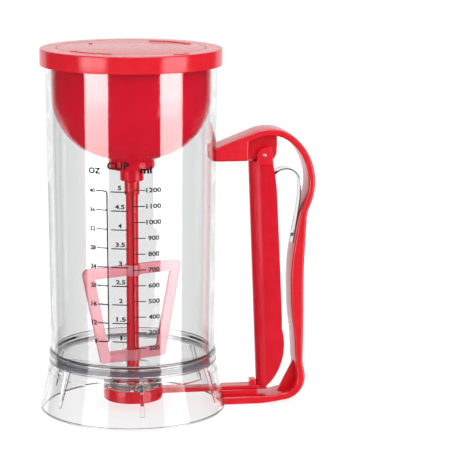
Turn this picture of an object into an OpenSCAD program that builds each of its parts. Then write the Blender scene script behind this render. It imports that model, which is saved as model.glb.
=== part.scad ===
// Batter mixer and dispenser: a clear graduated jar on a flared skirt, a lid that carries the
// motor and paddle, and a trigger handle that slides a gate under the jar's outlet.
// Origin at the centre of the skirt's foot, +Z up, handle towards +X. Millimetres.

/* [Jar] */
// Outer radius of the jar wall at its lower end
jar_r = 56.5; // [54:0.5:60]
// Outer radius of the jar wall at its mouth
mouth_r = 58.2; // [56:0.1:59]
// Wall thickness of the jar
jar_wall = 2.3; // [1.8:0.1:2.8]
// Height of the jar's rim above the table
jar_top = 245.4; // [242:0.2:262]
// Inner radius of the neck under the funnel floor
neck_r = 15; // [13:0.5:15.5]
// Outer radius of the outlet flange
flange_r = 20.3; // [20:0.1:22]
// Width of the outlet slot, along the slider's travel
outlet_w = 7; // [5:0.5:7]
// Length of the outlet slot, across the slider's travel
outlet_l = 20; // [14:0.5:20]

/* [Skirt] */
// Outer radius of the skirt's foot
foot_r = 64.4; // [62.5:0.1:66]
// Outer radius of the skirt's collar around the jar
collar_r = 57.4; // [57:0.1:58]
// Wall thickness of the skirt
skirt_wall = 2.4; // [2:0.1:2.4]
// Height of the collar's top, where the jar's shoulder rests
collar_top = 42; // [40:0.5:50]
// Number of ribs inside the skirt
rib_count = 6; // [3:1:12]
// Thickness of one rib
rib_t = 2.4; // [1.2:0.1:3]

/* [Lid] */
// How far the lid stands out beyond the jar's mouth
lid_overhang = 3.6; // [3.4:0.1:7]
// Thickness of the lid's top ring
lid_t = 3; // [2.5:0.1:4]
// Depth of the lid's skirt below its top ring
lid_skirt_h = 8.5; // [6:0.5:14]
// Radius of the battery cover's disc
cover_r = 50.5; // [49:0.1:50.5]
// Height of the raised turning arrows
arrow_h = 0.4; // [0.2:0.1:0.8]

/* [Motor housing] */
// Outer radius of the dome
dome_r = 54.5; // [54:0.1:54.8]
// Depth of the dome's rounded lower part
dome_depth = 50; // [48:0.2:51]
// Wall thickness of the dome
dome_wall = 2.2; // [1.8:0.1:2.6]
// Radius of the upper hub
hub_r = 15.9; // [14:0.1:16.6]
// Radius of the lower hub
seal_hub_r = 8.2; // [7.2:0.1:9]

/* [Mixer] */
// Radius of the mixing shaft
shaft_r = 4.25; // [3:0.05:4.4]
// Width of the paddle at its top
paddle_top_w = 78; // [70:1:84]
// Width of the paddle at its foot
paddle_foot_w = 50; // [40:1:56]
// Height of the paddle's top edge above the table
paddle_top = 100.4; // [90:0.2:120]
// Width of the paddle's bars
paddle_bar = 7.4; // [5:0.1:8]
// Thickness of the paddle
paddle_t = 3; // [2:0.1:4]
// Turn of the paddle about the shaft at rest, from +X
paddle_turn = 23; // [0:1:90]

/* [Valve] */
// Outer radius of the valve housing
valve_r = 20.5; // [20.5:0.1:22]
// Height of the gate plate's underside
gate_z = 9; // [8.9:0.1:9.4]
// Thickness of the gate plate
gate_t = 3; // [2.6:0.1:3.2]
// Width of the gate plate
gate_w = 27; // [26:0.5:28]
// Width of the slider bar
bar_w = 10; // [8:0.5:10]

/* [Handle] */
// Width of the handle's band
handle_w = 24; // [23:0.5:26]
// Width of the rails and of the boss for the trigger pin
web_w = 15; // [13:0.5:15]
// Thickness of the bracket that carries the boss
bracket_t = 6; // [5:0.5:14]
// Thickness of the gusset in the heel
gusset_t = 3; // [2.5:0.5:8]
// Thickness of the band in the upper bend
band_t = 4.5; // [4:0.1:5.5]
// Height of the lower arm's flat top
arm_top = 5.7; // [5.7:0.1:6.2]
// Distance from the jar's axis to the trigger pin
pin_x = 90.4; // [90:0.1:91]
// Height of the trigger pin
pin_z = 176; // [175.5:0.1:177]
// Radius of the trigger pin
pin_r = 1.25; // [1:0.05:1.5]
// Width of the trigger
trigger_w = 20; // [19:0.5:21]
// Wall thickness of the trigger's sides
trigger_wall = 2.1; // [1.8:0.1:2.1]
// Thickness of the leaf spring
spring_t = 0.8; // [0.5:0.1:1]
// Width of the leaf spring
spring_w = 11; // [8:0.5:12]

/* [Drive] */
// Gear module
gear_module = 0.6; // [0.55:0.01:0.6]
// Teeth on the motor pinion
pinion_teeth = 12; // [12:1:14]
// Teeth on the drive gear
gear_teeth = 36; // [30:1:36]
// Radius of the output shaft
out_r = 2.5; // [2:0.1:2.8]
// Radius of the motor shaft
motor_shaft_r = 1; // [0.8:0.1:1.2]

/* [Cells] */
// Length of one AA cell with its nub
cell_l = 50.5; // [49.2:0.1:50.5]
// Radius of one AA cell
cell_r = 7.1; // [6.9:0.05:7.2]
// Distance of each cell from the lid's centre lines
cell_off = 20.5; // [20:0.1:21.5]

/* [Fits] */
// Radial clearance of a running fit
run_fit = 0.05; // [0.02:0.01:0.08]
// Clearance of a sliding face
slide_fit = 0.1; // [0.05:0.01:0.15]
// Clearance around a loose part
loose_fit = 0.3; // [0.2:0.05:0.4]

/* [Hidden] */
$fn = 96;
eps = 0.01;

red = "#E02337";
clear = [0.9, 0.92, 0.94, 0.35];
steel = "silver";

// Heights, from the table up
flange_z = 14.6;
flange_h = 4.8;
floor_t = 2;
well_r = outlet_l / 2 + 1.2;
funnel_z = 28.4;
funnel_rim_z = 38.5;
seam_z = 33;
lip_r = collar_r - skirt_wall - 0.1;
neck_or = neck_r + jar_wall;
flange_top = flange_z + flange_h;
neck_top = funnel_z - jar_wall;
gasket_t = jar_wall - 0.8;
lid_under = jar_top + slide_fit + gasket_t;
lid_top = lid_under + lid_t;
lid_r = mouth_r + lid_overhang;

// Small shapes used by several parts

function arc(c, r, a0, a1, n = 12) =
    [for (i = [0:n]) let (a = a0 + (a1 - a0) * i / n) [c[0] + r * cos(a), c[1] + r * sin(a)]];

module upright(w) {
    rotate([90, 0, 0]) linear_extrude(w, center = true) children();
}

module block(x0, x1, w, z0, z1) {
    translate([x0, -w / 2, z0]) cube([x1 - x0, w, z1 - z0]);
}

module tube(r_out, r_in, z0, z1) {
    translate([0, 0, z0]) difference() {
        cylinder(r = r_out, h = z1 - z0);
        translate([0, 0, -1]) cylinder(r = r_in, h = z1 - z0 + 2);
    }
}

module rod(r, z0, z1) {
    translate([0, 0, z0]) cylinder(r = r, h = z1 - z0);
}

module cross_rod(r, x, z, l) {
    translate([x, 0, z]) rotate([90, 0, 0]) cylinder(r = r, h = l, center = true);
}

module slot_2d(w, l) {
    square([w, l - w], center = true);
    for (s = [-1, 1]) translate([0, s * (l - w) / 2]) circle(d = w, $fn = 32);
}

module slot_hole(z0, z1) {
    translate([0, 0, z0]) linear_extrude(z1 - z0) slot_2d(outlet_w, outlet_l);
}

module around(radius, angles) {
    for (a = angles) rotate([0, 0, a]) translate([radius, 0, 0]) children();
}

// A screw standing on its head at z = 0, with its shank going up
module screw(shank_r, length, head_r, head_h) {
    cylinder(r = head_r, h = head_h, $fn = 32);
    cylinder(r = shank_r, h = length, $fn = 24);
}

// Jar: conical wall and funnel floor, with the outlet neck welded under it

valve_screw_r = 1.2;
valve_screw_pitch = 16.9;
valve_screw_angles = [90, 180, 270];
valve_screw_depth = 3.4;
lug_w = 14;
lug_t = 6.5;
lug_x = mouth_r + 9.8;
lug_z = 175.5;
foot_lug_w = 10;
foot_lug_x = foot_r + 7.9;
foot_lug_z = 2.6;
foot_lug_t = 4.2;
handle_screw_r = 1.2;
handle_screw_y = 3;
handle_screw_x = [lug_x - 3.8, foot_r + 3.9];
handle_screw_bite = 4;

function jar_outer_r(z) = jar_r + (mouth_r - jar_r) * (z - collar_top) / (jar_top - collar_top);

module jar_profile() {
    polygon([
        [neck_r, neck_top], [neck_or, neck_top], [lip_r - jar_wall, funnel_rim_z - jar_wall],
        [lip_r - jar_wall, seam_z], [lip_r, seam_z], [lip_r, collar_top], [jar_r, collar_top],
        [mouth_r, jar_top - 0.8], [mouth_r - 0.8, jar_top], [mouth_r - jar_wall + 0.4, jar_top],
        [mouth_r - jar_wall, jar_top - 0.4], [jar_r - jar_wall, collar_top + 2],
        [lip_r - jar_wall, collar_top], [lip_r - jar_wall, funnel_rim_z],
        [neck_r, funnel_z]]);
}

module jar() {
    color(clear) difference() {
        union() {
            rotate_extrude($fn = 128) jar_profile();
            block(jar_r - 1, lug_x, lug_w, lug_z, lug_z + lug_t);
        }
        rotate_extrude($fn = 128) polygon([[0, lug_z - 1], [jar_r - jar_wall + 0.6, lug_z - 1],
            [jar_r - jar_wall + 0.6, lug_z + lug_t + 1], [0, lug_z + lug_t + 1]]);
        for (y = [-1, 1]) translate([handle_screw_x[0], y * handle_screw_y, 0])
            rod(handle_screw_r + run_fit, lug_z - 1, lug_z + handle_screw_bite + 0.4);
    }
}

module outlet_neck() {
    color(clear) difference() {
        rotate_extrude() polygon([
            [0, flange_z], [flange_r, flange_z], [flange_r, flange_top], [neck_or, flange_top],
            [neck_or, neck_top], [neck_r, neck_top], [neck_r, flange_top + 2.6],
            [well_r, flange_z + floor_t], [0, flange_z + floor_t]]);
        slot_hole(flange_z - 1, flange_z + floor_t + 1);
        around(valve_screw_pitch, valve_screw_angles)
            rod(valve_screw_r + run_fit, flange_z - 1, flange_z + valve_screw_depth);
    }
}

// Skirt: collar, flare, foot, ribs, slider window and the lug of the lower arm

flare_top = 30.5;
shoulder_z = 27;
shoulder_r = 58.6;
rib_depth = 3.2;
rib_foot = 8;
rib_top = seam_z - 0.4;
window_gap = 0.4;

function skirt_r(z) = foot_r + (shoulder_r - foot_r) * z / shoulder_z;

module skirt_outline(off) {
    polygon([
        [0, 0], [foot_r - 0.8 - off, 0], [foot_r - off, 1], [shoulder_r - off, shoulder_z],
        [collar_r - off, flare_top], [collar_r - off, collar_top + (off > 0 ? 1 : 0)],
        [0, collar_top + (off > 0 ? 1 : 0)]]);
}

module skirt_shell() {
    rotate_extrude($fn = 128) difference() {
        skirt_outline(0);
        translate([0, -eps]) skirt_outline(skirt_wall);
    }
}

module rib() {
    inner = skirt_wall - 1;
    upright(rib_t) polygon([
        [skirt_r(rib_foot) - inner, rib_foot], [shoulder_r - inner, shoulder_z],
        [collar_r - inner, flare_top], [collar_r - inner, rib_top],
        [collar_r - skirt_wall - rib_depth, rib_top],
        [skirt_r(rib_foot) - skirt_wall - 0.3, rib_foot]]);
}

module base_skirt() {
    color(clear) difference() {
        union() {
            skirt_shell();
            for (i = [0:rib_count - 1]) rotate([0, 0, (i + 0.5) * 360 / rib_count]) rib();
            block(skirt_r(foot_lug_z) - skirt_wall + 0.6, foot_lug_x, foot_lug_w,
                foot_lug_z, foot_lug_z + foot_lug_t);
        }
        block(collar_r - skirt_wall - 6, foot_r + 2, bar_w + 2 * window_gap,
            gate_z - window_gap, gate_z + gate_t + window_gap);
        for (y = [-1, 1]) translate([handle_screw_x[1], y * handle_screw_y, 0])
            rod(handle_screw_r + run_fit, foot_lug_z - 1, foot_lug_z + foot_lug_t + 1);
    }
}

// Valve: housing, seal, screws and the sliding gate

valve_z = 6;
gate_tip = -outlet_w / 2 - 1.5;
deck_z = gate_z + gate_t + slide_fit;
seal_r = outlet_l / 2 + 3.3;
gate_shoulder_x = 10;
gate_taper_x = 22;
bar_end = pin_x + 3.6;
bar_travel = 8.7;
peg_x = 82;
peg_t = 4.1;
peg_w = 8;
peg_top = 15.8;
nose_x = 88.6;
nose_pin_r = 1.5;

module valve_housing() {
    color(red) difference() {
        rotate_extrude() polygon([[0, valve_z], [valve_r - 1, valve_z], [valve_r, valve_z + 1],
            [valve_r, flange_z], [0, flange_z]]);
        slot_hole(valve_z - 1, gate_z + 1);
        block(gate_tip - loose_fit, valve_r + 2, gate_w + 2 * slide_fit, gate_z - slide_fit,
            deck_z);
        rod(seal_r + slide_fit, deck_z - eps, flange_z + 1);
        around(valve_screw_pitch, valve_screw_angles) {
            rod(valve_screw_r + run_fit, valve_z - 1, flange_z + 1);
            rod(2.3 + run_fit, valve_z - 1, valve_z + 1.4);
        }
    }
}

module valve_seal() {
    color("white") difference() {
        rod(seal_r, deck_z, flange_z);
        slot_hole(deck_z - 1, flange_z + 1);
    }
}

module valve_screws() {
    color(steel) around(valve_screw_pitch, valve_screw_angles)
        translate([0, 0, valve_z])
            screw(valve_screw_r, flange_z + valve_screw_depth - valve_z - 0.2, 2.3, 1.4);
}

module valve_slider() {
    color(red) difference() {
        union() {
            translate([0, 0, gate_z]) linear_extrude(gate_t) polygon([
                [gate_tip, -gate_w / 2 + 2], [gate_tip + 2, -gate_w / 2],
                [gate_shoulder_x, -gate_w / 2], [gate_taper_x, -bar_w / 2],
                [bar_end, -bar_w / 2], [bar_end, bar_w / 2], [gate_taper_x, bar_w / 2],
                [gate_shoulder_x, gate_w / 2], [gate_tip + 2, gate_w / 2],
                [gate_tip, gate_w / 2 - 2]]);
            block(peg_x, peg_x + peg_t, peg_w, gate_z + eps, peg_top);
        }
        translate([nose_x, 0, 0]) rod(nose_pin_r + 0.2, gate_z - 1, gate_z + gate_t + 1);
    }
}

// Handle: a band bent to a C, a root block, a bracket for the trigger, a lower arm and a gusset

bend_c = [93.9, 166.4];
bend_r = 27.7;
bend_a = 111.6;
turn_a = 46;
back_r = 41.2;
back_c = bend_c - (back_r - bend_r) * [cos(turn_a), sin(turn_a)];
back_end_a = -24;
neck_blend_r = 25;
neck_blend_c = back_c + (back_r + neck_blend_r) * [cos(back_end_a), sin(back_end_a)];
root_slope = 0.396;
root_x = jar_r - 1.5;
bend_start = bend_c + bend_r * [cos(bend_a), sin(bend_a)];
heel_c = [103.6, 18.6];
heel_r = 16.3;
hollow_c = [106, 15.5];
hollow_r = 10;
arm_bottom = 0.3;
arm_x0 = foot_r - 4.1;
block_x = 78.6;
block_z = 172.2;
bracket_z = 173.7;
bracket_x = 99;
pin_boss_r = 3.4;
rail_top = 9.7;
rail_x = 87;
pocket_gap = 0.2;

function band_outer() = concat(
    [[root_x, bend_start[1] - (bend_start[0] - root_x) * root_slope]],
    arc(bend_c, bend_r, bend_a, turn_a, 10),
    arc(back_c, back_r, turn_a - 4, back_end_a, 14),
    arc(neck_blend_c, neck_blend_r, 180 + back_end_a, 178, 5),
    [[118.4, 72], [118.2, 38]],
    arc(heel_c, heel_r, 8, -80, 12),
    [[88, arm_bottom], [arm_x0, arm_bottom]]);

function band_inner() = concat(
    [[arm_x0, arm_top]],
    arc(hollow_c, hollow_r - (arm_top - 5.5), -90, 0, 9),
    [[113, 31], [112.2, 48], [109.8, 70], [109.8, 100], [114.2, 128]],
    arc(back_c, back_r - band_t, back_end_a, turn_a, 14),
    arc(bend_c, bend_r - band_t, turn_a + 4, bend_a, 8),
    [[root_x, bend_start[1] - (bend_start[0] - root_x) * root_slope - band_t]]);

module band_2d() { polygon(concat(band_outer(), band_inner())); }

module root_block_2d() {
    polygon([[root_x, block_z], [block_x, block_z], [block_x, 187.5], [root_x, 179.5]]);
}

module bracket_2d() {
    polygon([[block_x - 1, bracket_z], [97.4, bracket_z], [98.7, 176.8], [bracket_x, 182],
        [bracket_x - 0.2, 191], [block_x - 1, 188]]);
}

module heel_web_2d() {
    polygon([[101, arm_top - 0.5], [113.2, 28.6], [115, 30], [117, 16], [113, 8],
        [106, arm_top - 1.5]]);
}

module handle_body() {
    upright(handle_w) {
        band_2d();
        root_block_2d();
    }
    upright(bracket_t) bracket_2d();
    upright(gusset_t) heel_web_2d();
    cross_rod(pin_boss_r, pin_x, pin_z, web_w);
    block(arm_x0, rail_x, web_w, arm_top - 1, rail_top);
}

// What the jar or the skirt takes away from the handle's ends
module trim_cone(z0, z1, r0, r1) {
    rotate_extrude($fn = 128) polygon([[0, z0], [r0 + slide_fit, z0], [r1 + slide_fit, z1], [0, z1]]);
}

module handle() {
    color(red) difference() {
        handle_body();
        trim_cone(lug_z - 10, lug_z + 20, jar_outer_r(lug_z - 10), jar_outer_r(lug_z + 20));
        trim_cone(-1, shoulder_z - 7, skirt_r(-1), skirt_r(shoulder_z - 7));
        block(root_x - 1, lug_x + pocket_gap, lug_w + 2 * pocket_gap, lug_z - pocket_gap,
            lug_z + lug_t + pocket_gap);
        block(arm_x0 - 1, foot_lug_x + pocket_gap, foot_lug_w + 2 * pocket_gap,
            foot_lug_z - pocket_gap, foot_lug_z + foot_lug_t + pocket_gap);
        block(arm_x0 - 1, bar_end + bar_travel + loose_fit, bar_w + 2 * loose_fit,
            gate_z - slide_fit, gate_z + gate_t + loose_fit);
        cross_rod(pin_r, pin_x, pin_z, web_w + 2);
        for (y = [-1, 1]) {
            translate([handle_screw_x[0], y * handle_screw_y, block_z]) screw_pocket();
            translate([handle_screw_x[1], y * handle_screw_y, arm_bottom]) screw_pocket();
        }
        translate([spring_screw_x, 0, spring_screw_z]) rotate([0, 90, 0])
            cylinder(r = spring_screw_r + run_fit, h = spring_screw_l + 0.2, $fn = 24);
    }
}

module screw_pocket() {
    translate([0, 0, -1]) cylinder(r = handle_screw_r + run_fit, h = 6, $fn = 24);
    translate([0, 0, -1]) cylinder(r = 2.2 + run_fit, h = 1 + 1.2, $fn = 32);
}

module handle_screws() {
    color(steel) for (y = [-1, 1]) {
        translate([handle_screw_x[0], y * handle_screw_y, block_z])
            screw(handle_screw_r, lug_z - block_z + handle_screw_bite, 2.2, 1.2);
        translate([handle_screw_x[1], y * handle_screw_y, arm_bottom])
            screw(handle_screw_r, foot_lug_z + foot_lug_t - arm_bottom - 0.2, 2.2, 1.2);
    }
}

// Trigger: a channel with a rounded finger side, two ears and a nose pin

finger_foot = [86.8, 12.4];
finger_top = [80.8, 165];
finger_depth = 15;
finger_wall = 2.8;
channel_foot = 24;
back_edge_c = [62.4, 41.7];
back_edge_r = 42.7;
lean = atan((finger_foot[0] - finger_top[0]) / (finger_top[1] - finger_foot[1]));
ear_gap = trigger_w / 2 - trigger_wall;

module trigger_side_2d() {
    polygon(concat(
        [finger_foot + [-5, 0], [finger_top[0] - 4, finger_top[1]], [82.5, 171.2],
            [85.5, 171.2], [85.5, 177.5], [88, 180.4], [95.4, 182.4], [96.4, 170],
            [97.8, 164], [99.2, 149.4], [103.4, 59]],
        arc(back_edge_c, back_edge_r, 12, -43, 8)));
}

// Plan of the lever: half an ellipse of depth l, its front on x = 0, and straight sides behind
module finger_plan_2d(w, l) {
    polygon(concat([for (t = [-90:7.5:90]) [l - l * cos(t), w / 2 * sin(t)]],
        [[l + 50, w / 2], [l + 50, -w / 2]]));
}

module lever_prism(off, w, l, z0, z1) {
    translate([finger_foot[0], 0, finger_foot[1]]) rotate([0, -lean, 0])
        translate([off, 0, z0]) linear_extrude(z1 - z0) finger_plan_2d(w, l);
}

module trigger() {
    color(red) difference() {
        union() {
            intersection() {
                upright(trigger_w) trigger_side_2d();
                lever_prism(0, trigger_w, finger_depth, -20, 220);
            }
            translate([nose_x, 0, 0]) rod(nose_pin_r, gate_z + 0.2, finger_foot[1] + 2);
        }
        lever_prism(finger_wall, 2 * ear_gap, finger_depth - finger_wall,
            channel_foot - finger_foot[1], 220);
        block(finger_top[0], pin_x + 12, 2 * ear_gap, bracket_z - 1.5, pin_z + 12);
        cross_rod(pin_r + run_fit, pin_x, pin_z, trigger_w + 2);
    }
}

module hinge_pin() {
    color(steel) cross_rod(pin_r, pin_x, pin_z, trigger_w + 0.4);
}

// Leaf spring: a bent strip from the trigger's channel to the grip

arch_c = [106.2, 155.5];
arch_r = 10;
spring_foot = [89.95, 131.6];
spring_screw_r = 1;
spring_screw_x = 110.4;
spring_screw_z = 119;
spring_screw_l = 6.4;
spring_screw_head = [2, 1];

function spring_path() = concat([spring_foot + [-0.9, 2.6], spring_foot + [-0.5, 0.6],
    spring_foot + [0.3, 0.8]], arc(arch_c, arch_r, 160, 0, 12), [[116.2, 145], [113.5, 127], [111.3, 113]]);

function heading(p, i) = let (a = p[max(i - 1, 0)], b = p[min(i + 1, len(p) - 1)], d = b - a)
    d / norm(d);

function ribbon(p, t) = concat(
    [for (i = [0:len(p) - 1]) p[i] + t / 2 * [-heading(p, i)[1], heading(p, i)[0]]],
    [for (i = [len(p) - 1:-1:0]) p[i] - t / 2 * [-heading(p, i)[1], heading(p, i)[0]]]);

module leaf_spring() {
    color(steel) difference() {
        upright(spring_w) polygon(ribbon(spring_path(), spring_t));
        translate([100, 0, spring_screw_z]) rotate([0, 90, 0])
            cylinder(r = spring_screw_r + run_fit, h = 20, $fn = 24);
    }
}

module spring_screw() {
    color(steel) translate([spring_screw_x, 0, spring_screw_z]) rotate([0, 90, 0])
        screw(spring_screw_r, spring_screw_l, spring_screw_head[0], spring_screw_head[1]);
}

// Lid, gasket and battery cover

ledge_r = 44.4;
ledge_t = 2.4;
ledge_or = dome_r - dome_wall - slide_fit;
lug_angles = [0, 120, 240];
screw_angles = [60, 180, 300];
rim_r = ledge_r - loose_fit;
rim_t = 2;
rim_h = 5.6;
cover_lug_r = 45.9;
cover_lug_h = 1.8;
release_turn = 30;
housing_screw_pitch = 48.6;
housing_screw_r = 1.2;
housing_screw_l = 12;
housing_head_r = 2.2;

module sector_2d(r_out, r_in, mid, width) {
    polygon(concat(arc([0, 0], r_out, mid - width / 2, mid + width / 2, 6),
        arc([0, 0], r_in, mid + width / 2, mid - width / 2, 6)));
}

module lid_shell() {
    color(red) difference() {
        union() {
            rotate_extrude($fn = 128) polygon([
                [ledge_r, lid_under - ledge_t], [ledge_or, lid_under - ledge_t],
                [ledge_or, lid_under], [lid_r - 2, lid_under],
                [lid_r - 2, lid_under - lid_skirt_h], [lid_r, lid_under - lid_skirt_h],
                [lid_r, lid_top - 1], [lid_r - 0.3, lid_top - 0.3], [lid_r - 1, lid_top],
                [cover_r + 0.4, lid_top], [cover_r + 0.4, lid_under], [ledge_r, lid_under]]);
            translate([0, 0, lid_top - eps]) linear_extrude(arrow_h + eps)
                sector_2d(cover_r + 6.5, cover_r + 5.1, -60, 12);
        }
        for (a = lug_angles) translate([0, 0, lid_under - ledge_t - 1])
            linear_extrude(ledge_t + 2)
                sector_2d(cover_lug_r + loose_fit, ledge_r - 1, a + release_turn, 18);
        around(housing_screw_pitch, screw_angles) {
            rod(housing_screw_r + run_fit, lid_under - ledge_t - 1, lid_under + 1);
            rod(housing_head_r + run_fit, lid_under - 1.2, lid_under + 0.2);
        }
    }
}

module lid_gasket() {
    color("white") tube(mouth_r - 0.3, dome_r + 0.2, lid_under - gasket_t, lid_under);
}

// A curved arrow on the disc, its head at angle a1
module turn_arrow(r, a0, a1) {
    polygon(concat(arc([0, 0], r + 0.8, a0, a1, 8), arc([0, 0], r - 0.8, a1, a0, 8)));
    polygon([[(r + 2.6) * cos(a1), (r + 2.6) * sin(a1)], [(r - 2.6) * cos(a1), (r - 2.6) * sin(a1)],
        [r * cos(a1 - 7), r * sin(a1 - 7)]]);
}

module battery_cover() {
    color(red) {
        difference() {
            union() {
                rotate_extrude($fn = 128) polygon([[0, lid_under + run_fit],
                    [cover_r, lid_under + run_fit], [cover_r, lid_top - 0.3],
                    [cover_r - 0.3, lid_top], [0, lid_top]]);
                tube(rim_r, rim_r - rim_t, lid_under - rim_h, lid_under + run_fit + eps);
                for (a = lug_angles)
                    translate([0, 0, lid_under - ledge_t - 0.2 - cover_lug_h])
                        linear_extrude(cover_lug_h)
                            sector_2d(cover_lug_r, rim_r - 1, a, 14);
            }
            tube(rim_r + 1, rim_r - 1.1, lid_under - 1.8, lid_under - 0.5);
        }
        translate([0, 0, lid_top - eps]) linear_extrude(arrow_h + eps) {
            turn_arrow(cover_r - 4.5, -112, -152);
            turn_arrow(cover_r - 4.5, 68, 28);
        }
        translate([0, 0, lid_top - eps]) linear_extrude(arrow_h + eps)
            translate([38 * cos(131), 38 * sin(131)]) circle(r = 1.3, $fn = 24);
    }
}

module cover_seal() {
    color("dimgray") translate([0, 0, lid_under - 1.15]) rotate_extrude($fn = 96)
        translate([rim_r - 0.45, 0]) circle(r = 0.55, $fn = 24);
}

// Motor housing: a rounded dome with two stepped hubs

dome_mid = lid_under - 25;
dome_power = 2.2;
hub_bottom = lid_under - 81.1;
seal_hub_bottom = hub_bottom - 7.4;
bush_r = 5;
lip_seal_r = 5.5;
post_pitch = 27;
post_angles = [0, 120, 240];
post_r = 2.6;
boss_r = 4.4;

function dome_z(r, a, b) = dome_mid - b * pow(1 - pow(r / a, dome_power), 1 / dome_power);
function dome_curve(a, b, r0, n) =
    [for (i = [0:n]) let (t = i / n, r = a - (a - r0) * t * t) [r, dome_z(r, a, b)]];

module dome_outer_2d() {
    polygon(concat([[0, lid_under], [dome_r, lid_under]],
        dome_curve(dome_r, dome_depth, hub_r, 14),
        [[hub_r, hub_bottom + 1.4], [hub_r - 1.4, hub_bottom], [seal_hub_r, hub_bottom],
            [seal_hub_r, seal_hub_bottom + 0.6], [seal_hub_r - 0.6, seal_hub_bottom],
            [0, seal_hub_bottom]]));
}

module dome_inner_2d() {
    polygon(concat([[0, lid_under + 1], [dome_r - dome_wall, lid_under + 1]],
        dome_curve(dome_r - dome_wall, dome_depth - dome_wall, 0, 12)));
}

module motor_housing() {
    color(red) difference() {
        union() {
            rotate_extrude() difference() {
                dome_outer_2d();
                dome_inner_2d();
            }
            around(housing_screw_pitch, screw_angles)
                rod(boss_r, dome_mid + 2, lid_under - ledge_t);
            around(post_pitch, post_angles)
                rod(post_r, dome_z(post_pitch + post_r, dome_r, dome_depth) + 0.05, plate_z);
        }
        rod(out_r + 0.4, seal_hub_bottom - 1, plate_z);
        rod(lip_seal_r, seal_hub_bottom + 0.8, bush_z);
        rod(bush_r, bush_z - eps, plate_z);
        around(housing_screw_pitch, screw_angles)
            rod(housing_screw_r + run_fit, lid_under - housing_screw_l - 0.5, lid_under);
        around(post_pitch, post_angles) rod(1 + run_fit, plate_z - 2.8, plate_z + 1);
    }
}

module housing_screws() {
    color(steel) around(housing_screw_pitch, screw_angles)
        translate([0, 0, lid_under]) mirror([0, 0, 1])
            screw(housing_screw_r, housing_screw_l, housing_head_r, 1.2);
}

// Drive train

plate_z = lid_under - 61.5;
plate_t = 2;
plate_r = 30.5;
bush_z = seal_hub_bottom + 3.6;
bush_h = 10.4;
pitch_gear = gear_module * gear_teeth / 2;
pitch_pinion = gear_module * pinion_teeth / 2;
motor_x = -(pitch_gear + pitch_pinion);
gear_h = 4.6;
gear_z = plate_z - gear_h - 0.9;
pressure = 20;
backlash = 0.08;
motor_r = 10.2;
motor_flat = 15.4;
motor_h = 25;
motor_z = plate_z + plate_t;

function involute_a(rb, r) = let (t = sqrt(max(pow(r / rb, 2) - 1, 0))) t * 180 / PI - atan(t);

// Half of a tooth's angle at radius r, thinned by the backlash
function tooth_a(n, r) = let (rp = gear_module * n / 2, rb = rp * cos(pressure))
    90 / n + involute_a(rb, rp) - involute_a(rb, max(r, rb)) - backlash / 2 / rp * 180 / PI;

module gear_2d(n, addendum, dedendum) {
    rp = gear_module * n / 2;
    rt = rp + addendum * gear_module;
    rr = rp - dedendum * gear_module;
    rb = max(rp * cos(pressure), rr);
    radii = [rr, rb, for (i = [1:4]) rb + (rt - rb) * i / 4];
    polygon([for (k = [0:n - 1]) each concat(
        [for (r = radii) let (a = k * 360 / n - tooth_a(n, r)) [r * cos(a), r * sin(a)]],
        [for (i = [len(radii) - 1:-1:0]) let (r = radii[i], a = k * 360 / n + tooth_a(n, r))
            [r * cos(a), r * sin(a)]])]);
}

module drive_gear() {
    color("ivory") difference() {
        translate([0, 0, gear_z]) rotate([0, 0, 180 + 180 / gear_teeth])
            linear_extrude(gear_h) gear_2d(gear_teeth, 0.72, 1.2);
        rod(out_r, gear_z - 1, gear_z + gear_h + 1);
    }
}

module motor_pinion() {
    color("goldenrod") translate([motor_x, 0, 0]) difference() {
        translate([0, 0, gear_z + 0.2]) linear_extrude(gear_h) gear_2d(pinion_teeth, 0.9, 1.05);
        rod(motor_shaft_r, gear_z - 1, gear_z + gear_h + 2);
    }
}

module motor_shaft() {
    color(steel) translate([motor_x, 0, 0]) rod(motor_shaft_r, gear_z + 0.2, motor_z + motor_h + 1);
}

module output_shaft() {
    color(steel) rod(out_r, mix_head_z + 1, plate_z + plate_t + 1);
}

module shaft_bush() {
    color("peru") tube(bush_r - eps, out_r + run_fit, bush_z, bush_z + bush_h);
}

module shaft_seal() {
    color("dimgray") tube(lip_seal_r - eps, out_r + run_fit, seal_hub_bottom + 0.8, bush_z);
}

module gear_plate() {
    color("whitesmoke") difference() {
        rod(plate_r, plate_z, motor_z);
        rod(out_r + run_fit, plate_z - 1, motor_z + 1);
        translate([motor_x, 0, 0]) rod(3 + run_fit, plate_z - 1, motor_z + 1);
        around(post_pitch, post_angles) rod(1 + run_fit, plate_z - 1, motor_z + 1);
    }
}

module plate_screws() {
    color(steel) around(post_pitch, post_angles) translate([0, 0, motor_z + 1.2])
        mirror([0, 0, 1]) screw(1, 1.2 + plate_t + 2.6, 2, 1.2);
}

module motor() {
    color("gainsboro") translate([motor_x, 0, 0]) difference() {
        union() {
            intersection() {
                rod(motor_r, motor_z, motor_z + motor_h);
                block(-motor_r - 1, motor_r + 1, motor_flat, motor_z, motor_z + motor_h);
            }
            rod(3, plate_z + 0.3, motor_z + eps);
            for (y = [-1, 1]) block_at(y * 5, motor_z + motor_h, 3);
        }
        rod(motor_shaft_r + run_fit, plate_z - 1, motor_z + motor_h + 1);
    }
}

// A terminal tab standing on the motor's end
module block_at(y, z, h) {
    translate([-1.2, y - 0.3, z - eps]) cube([2.4, 0.6, h]);
}

// Battery holder, cells and contacts

tray_z = motor_z + 2.7;
tray_floor = 2.4;
tray_r = 38;
tray_top = lid_under - 16;
tray_deck_r = 42;
strip_t = 0.4;
cell_z = tray_z + tray_floor + slide_fit;
cell_spots = [for (x = [-1, 1], y = [-1, 1]) [x, y] * cell_off];
cell_wall = 1.2;
cell_gap = 0.3;
tab_x = cell_off + 10.5;
link_x = cell_off + 9.5;
pad_reach = tab_x + 2;

module tray_leg() { rod(2.5, motor_z, tray_z + eps); }

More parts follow.
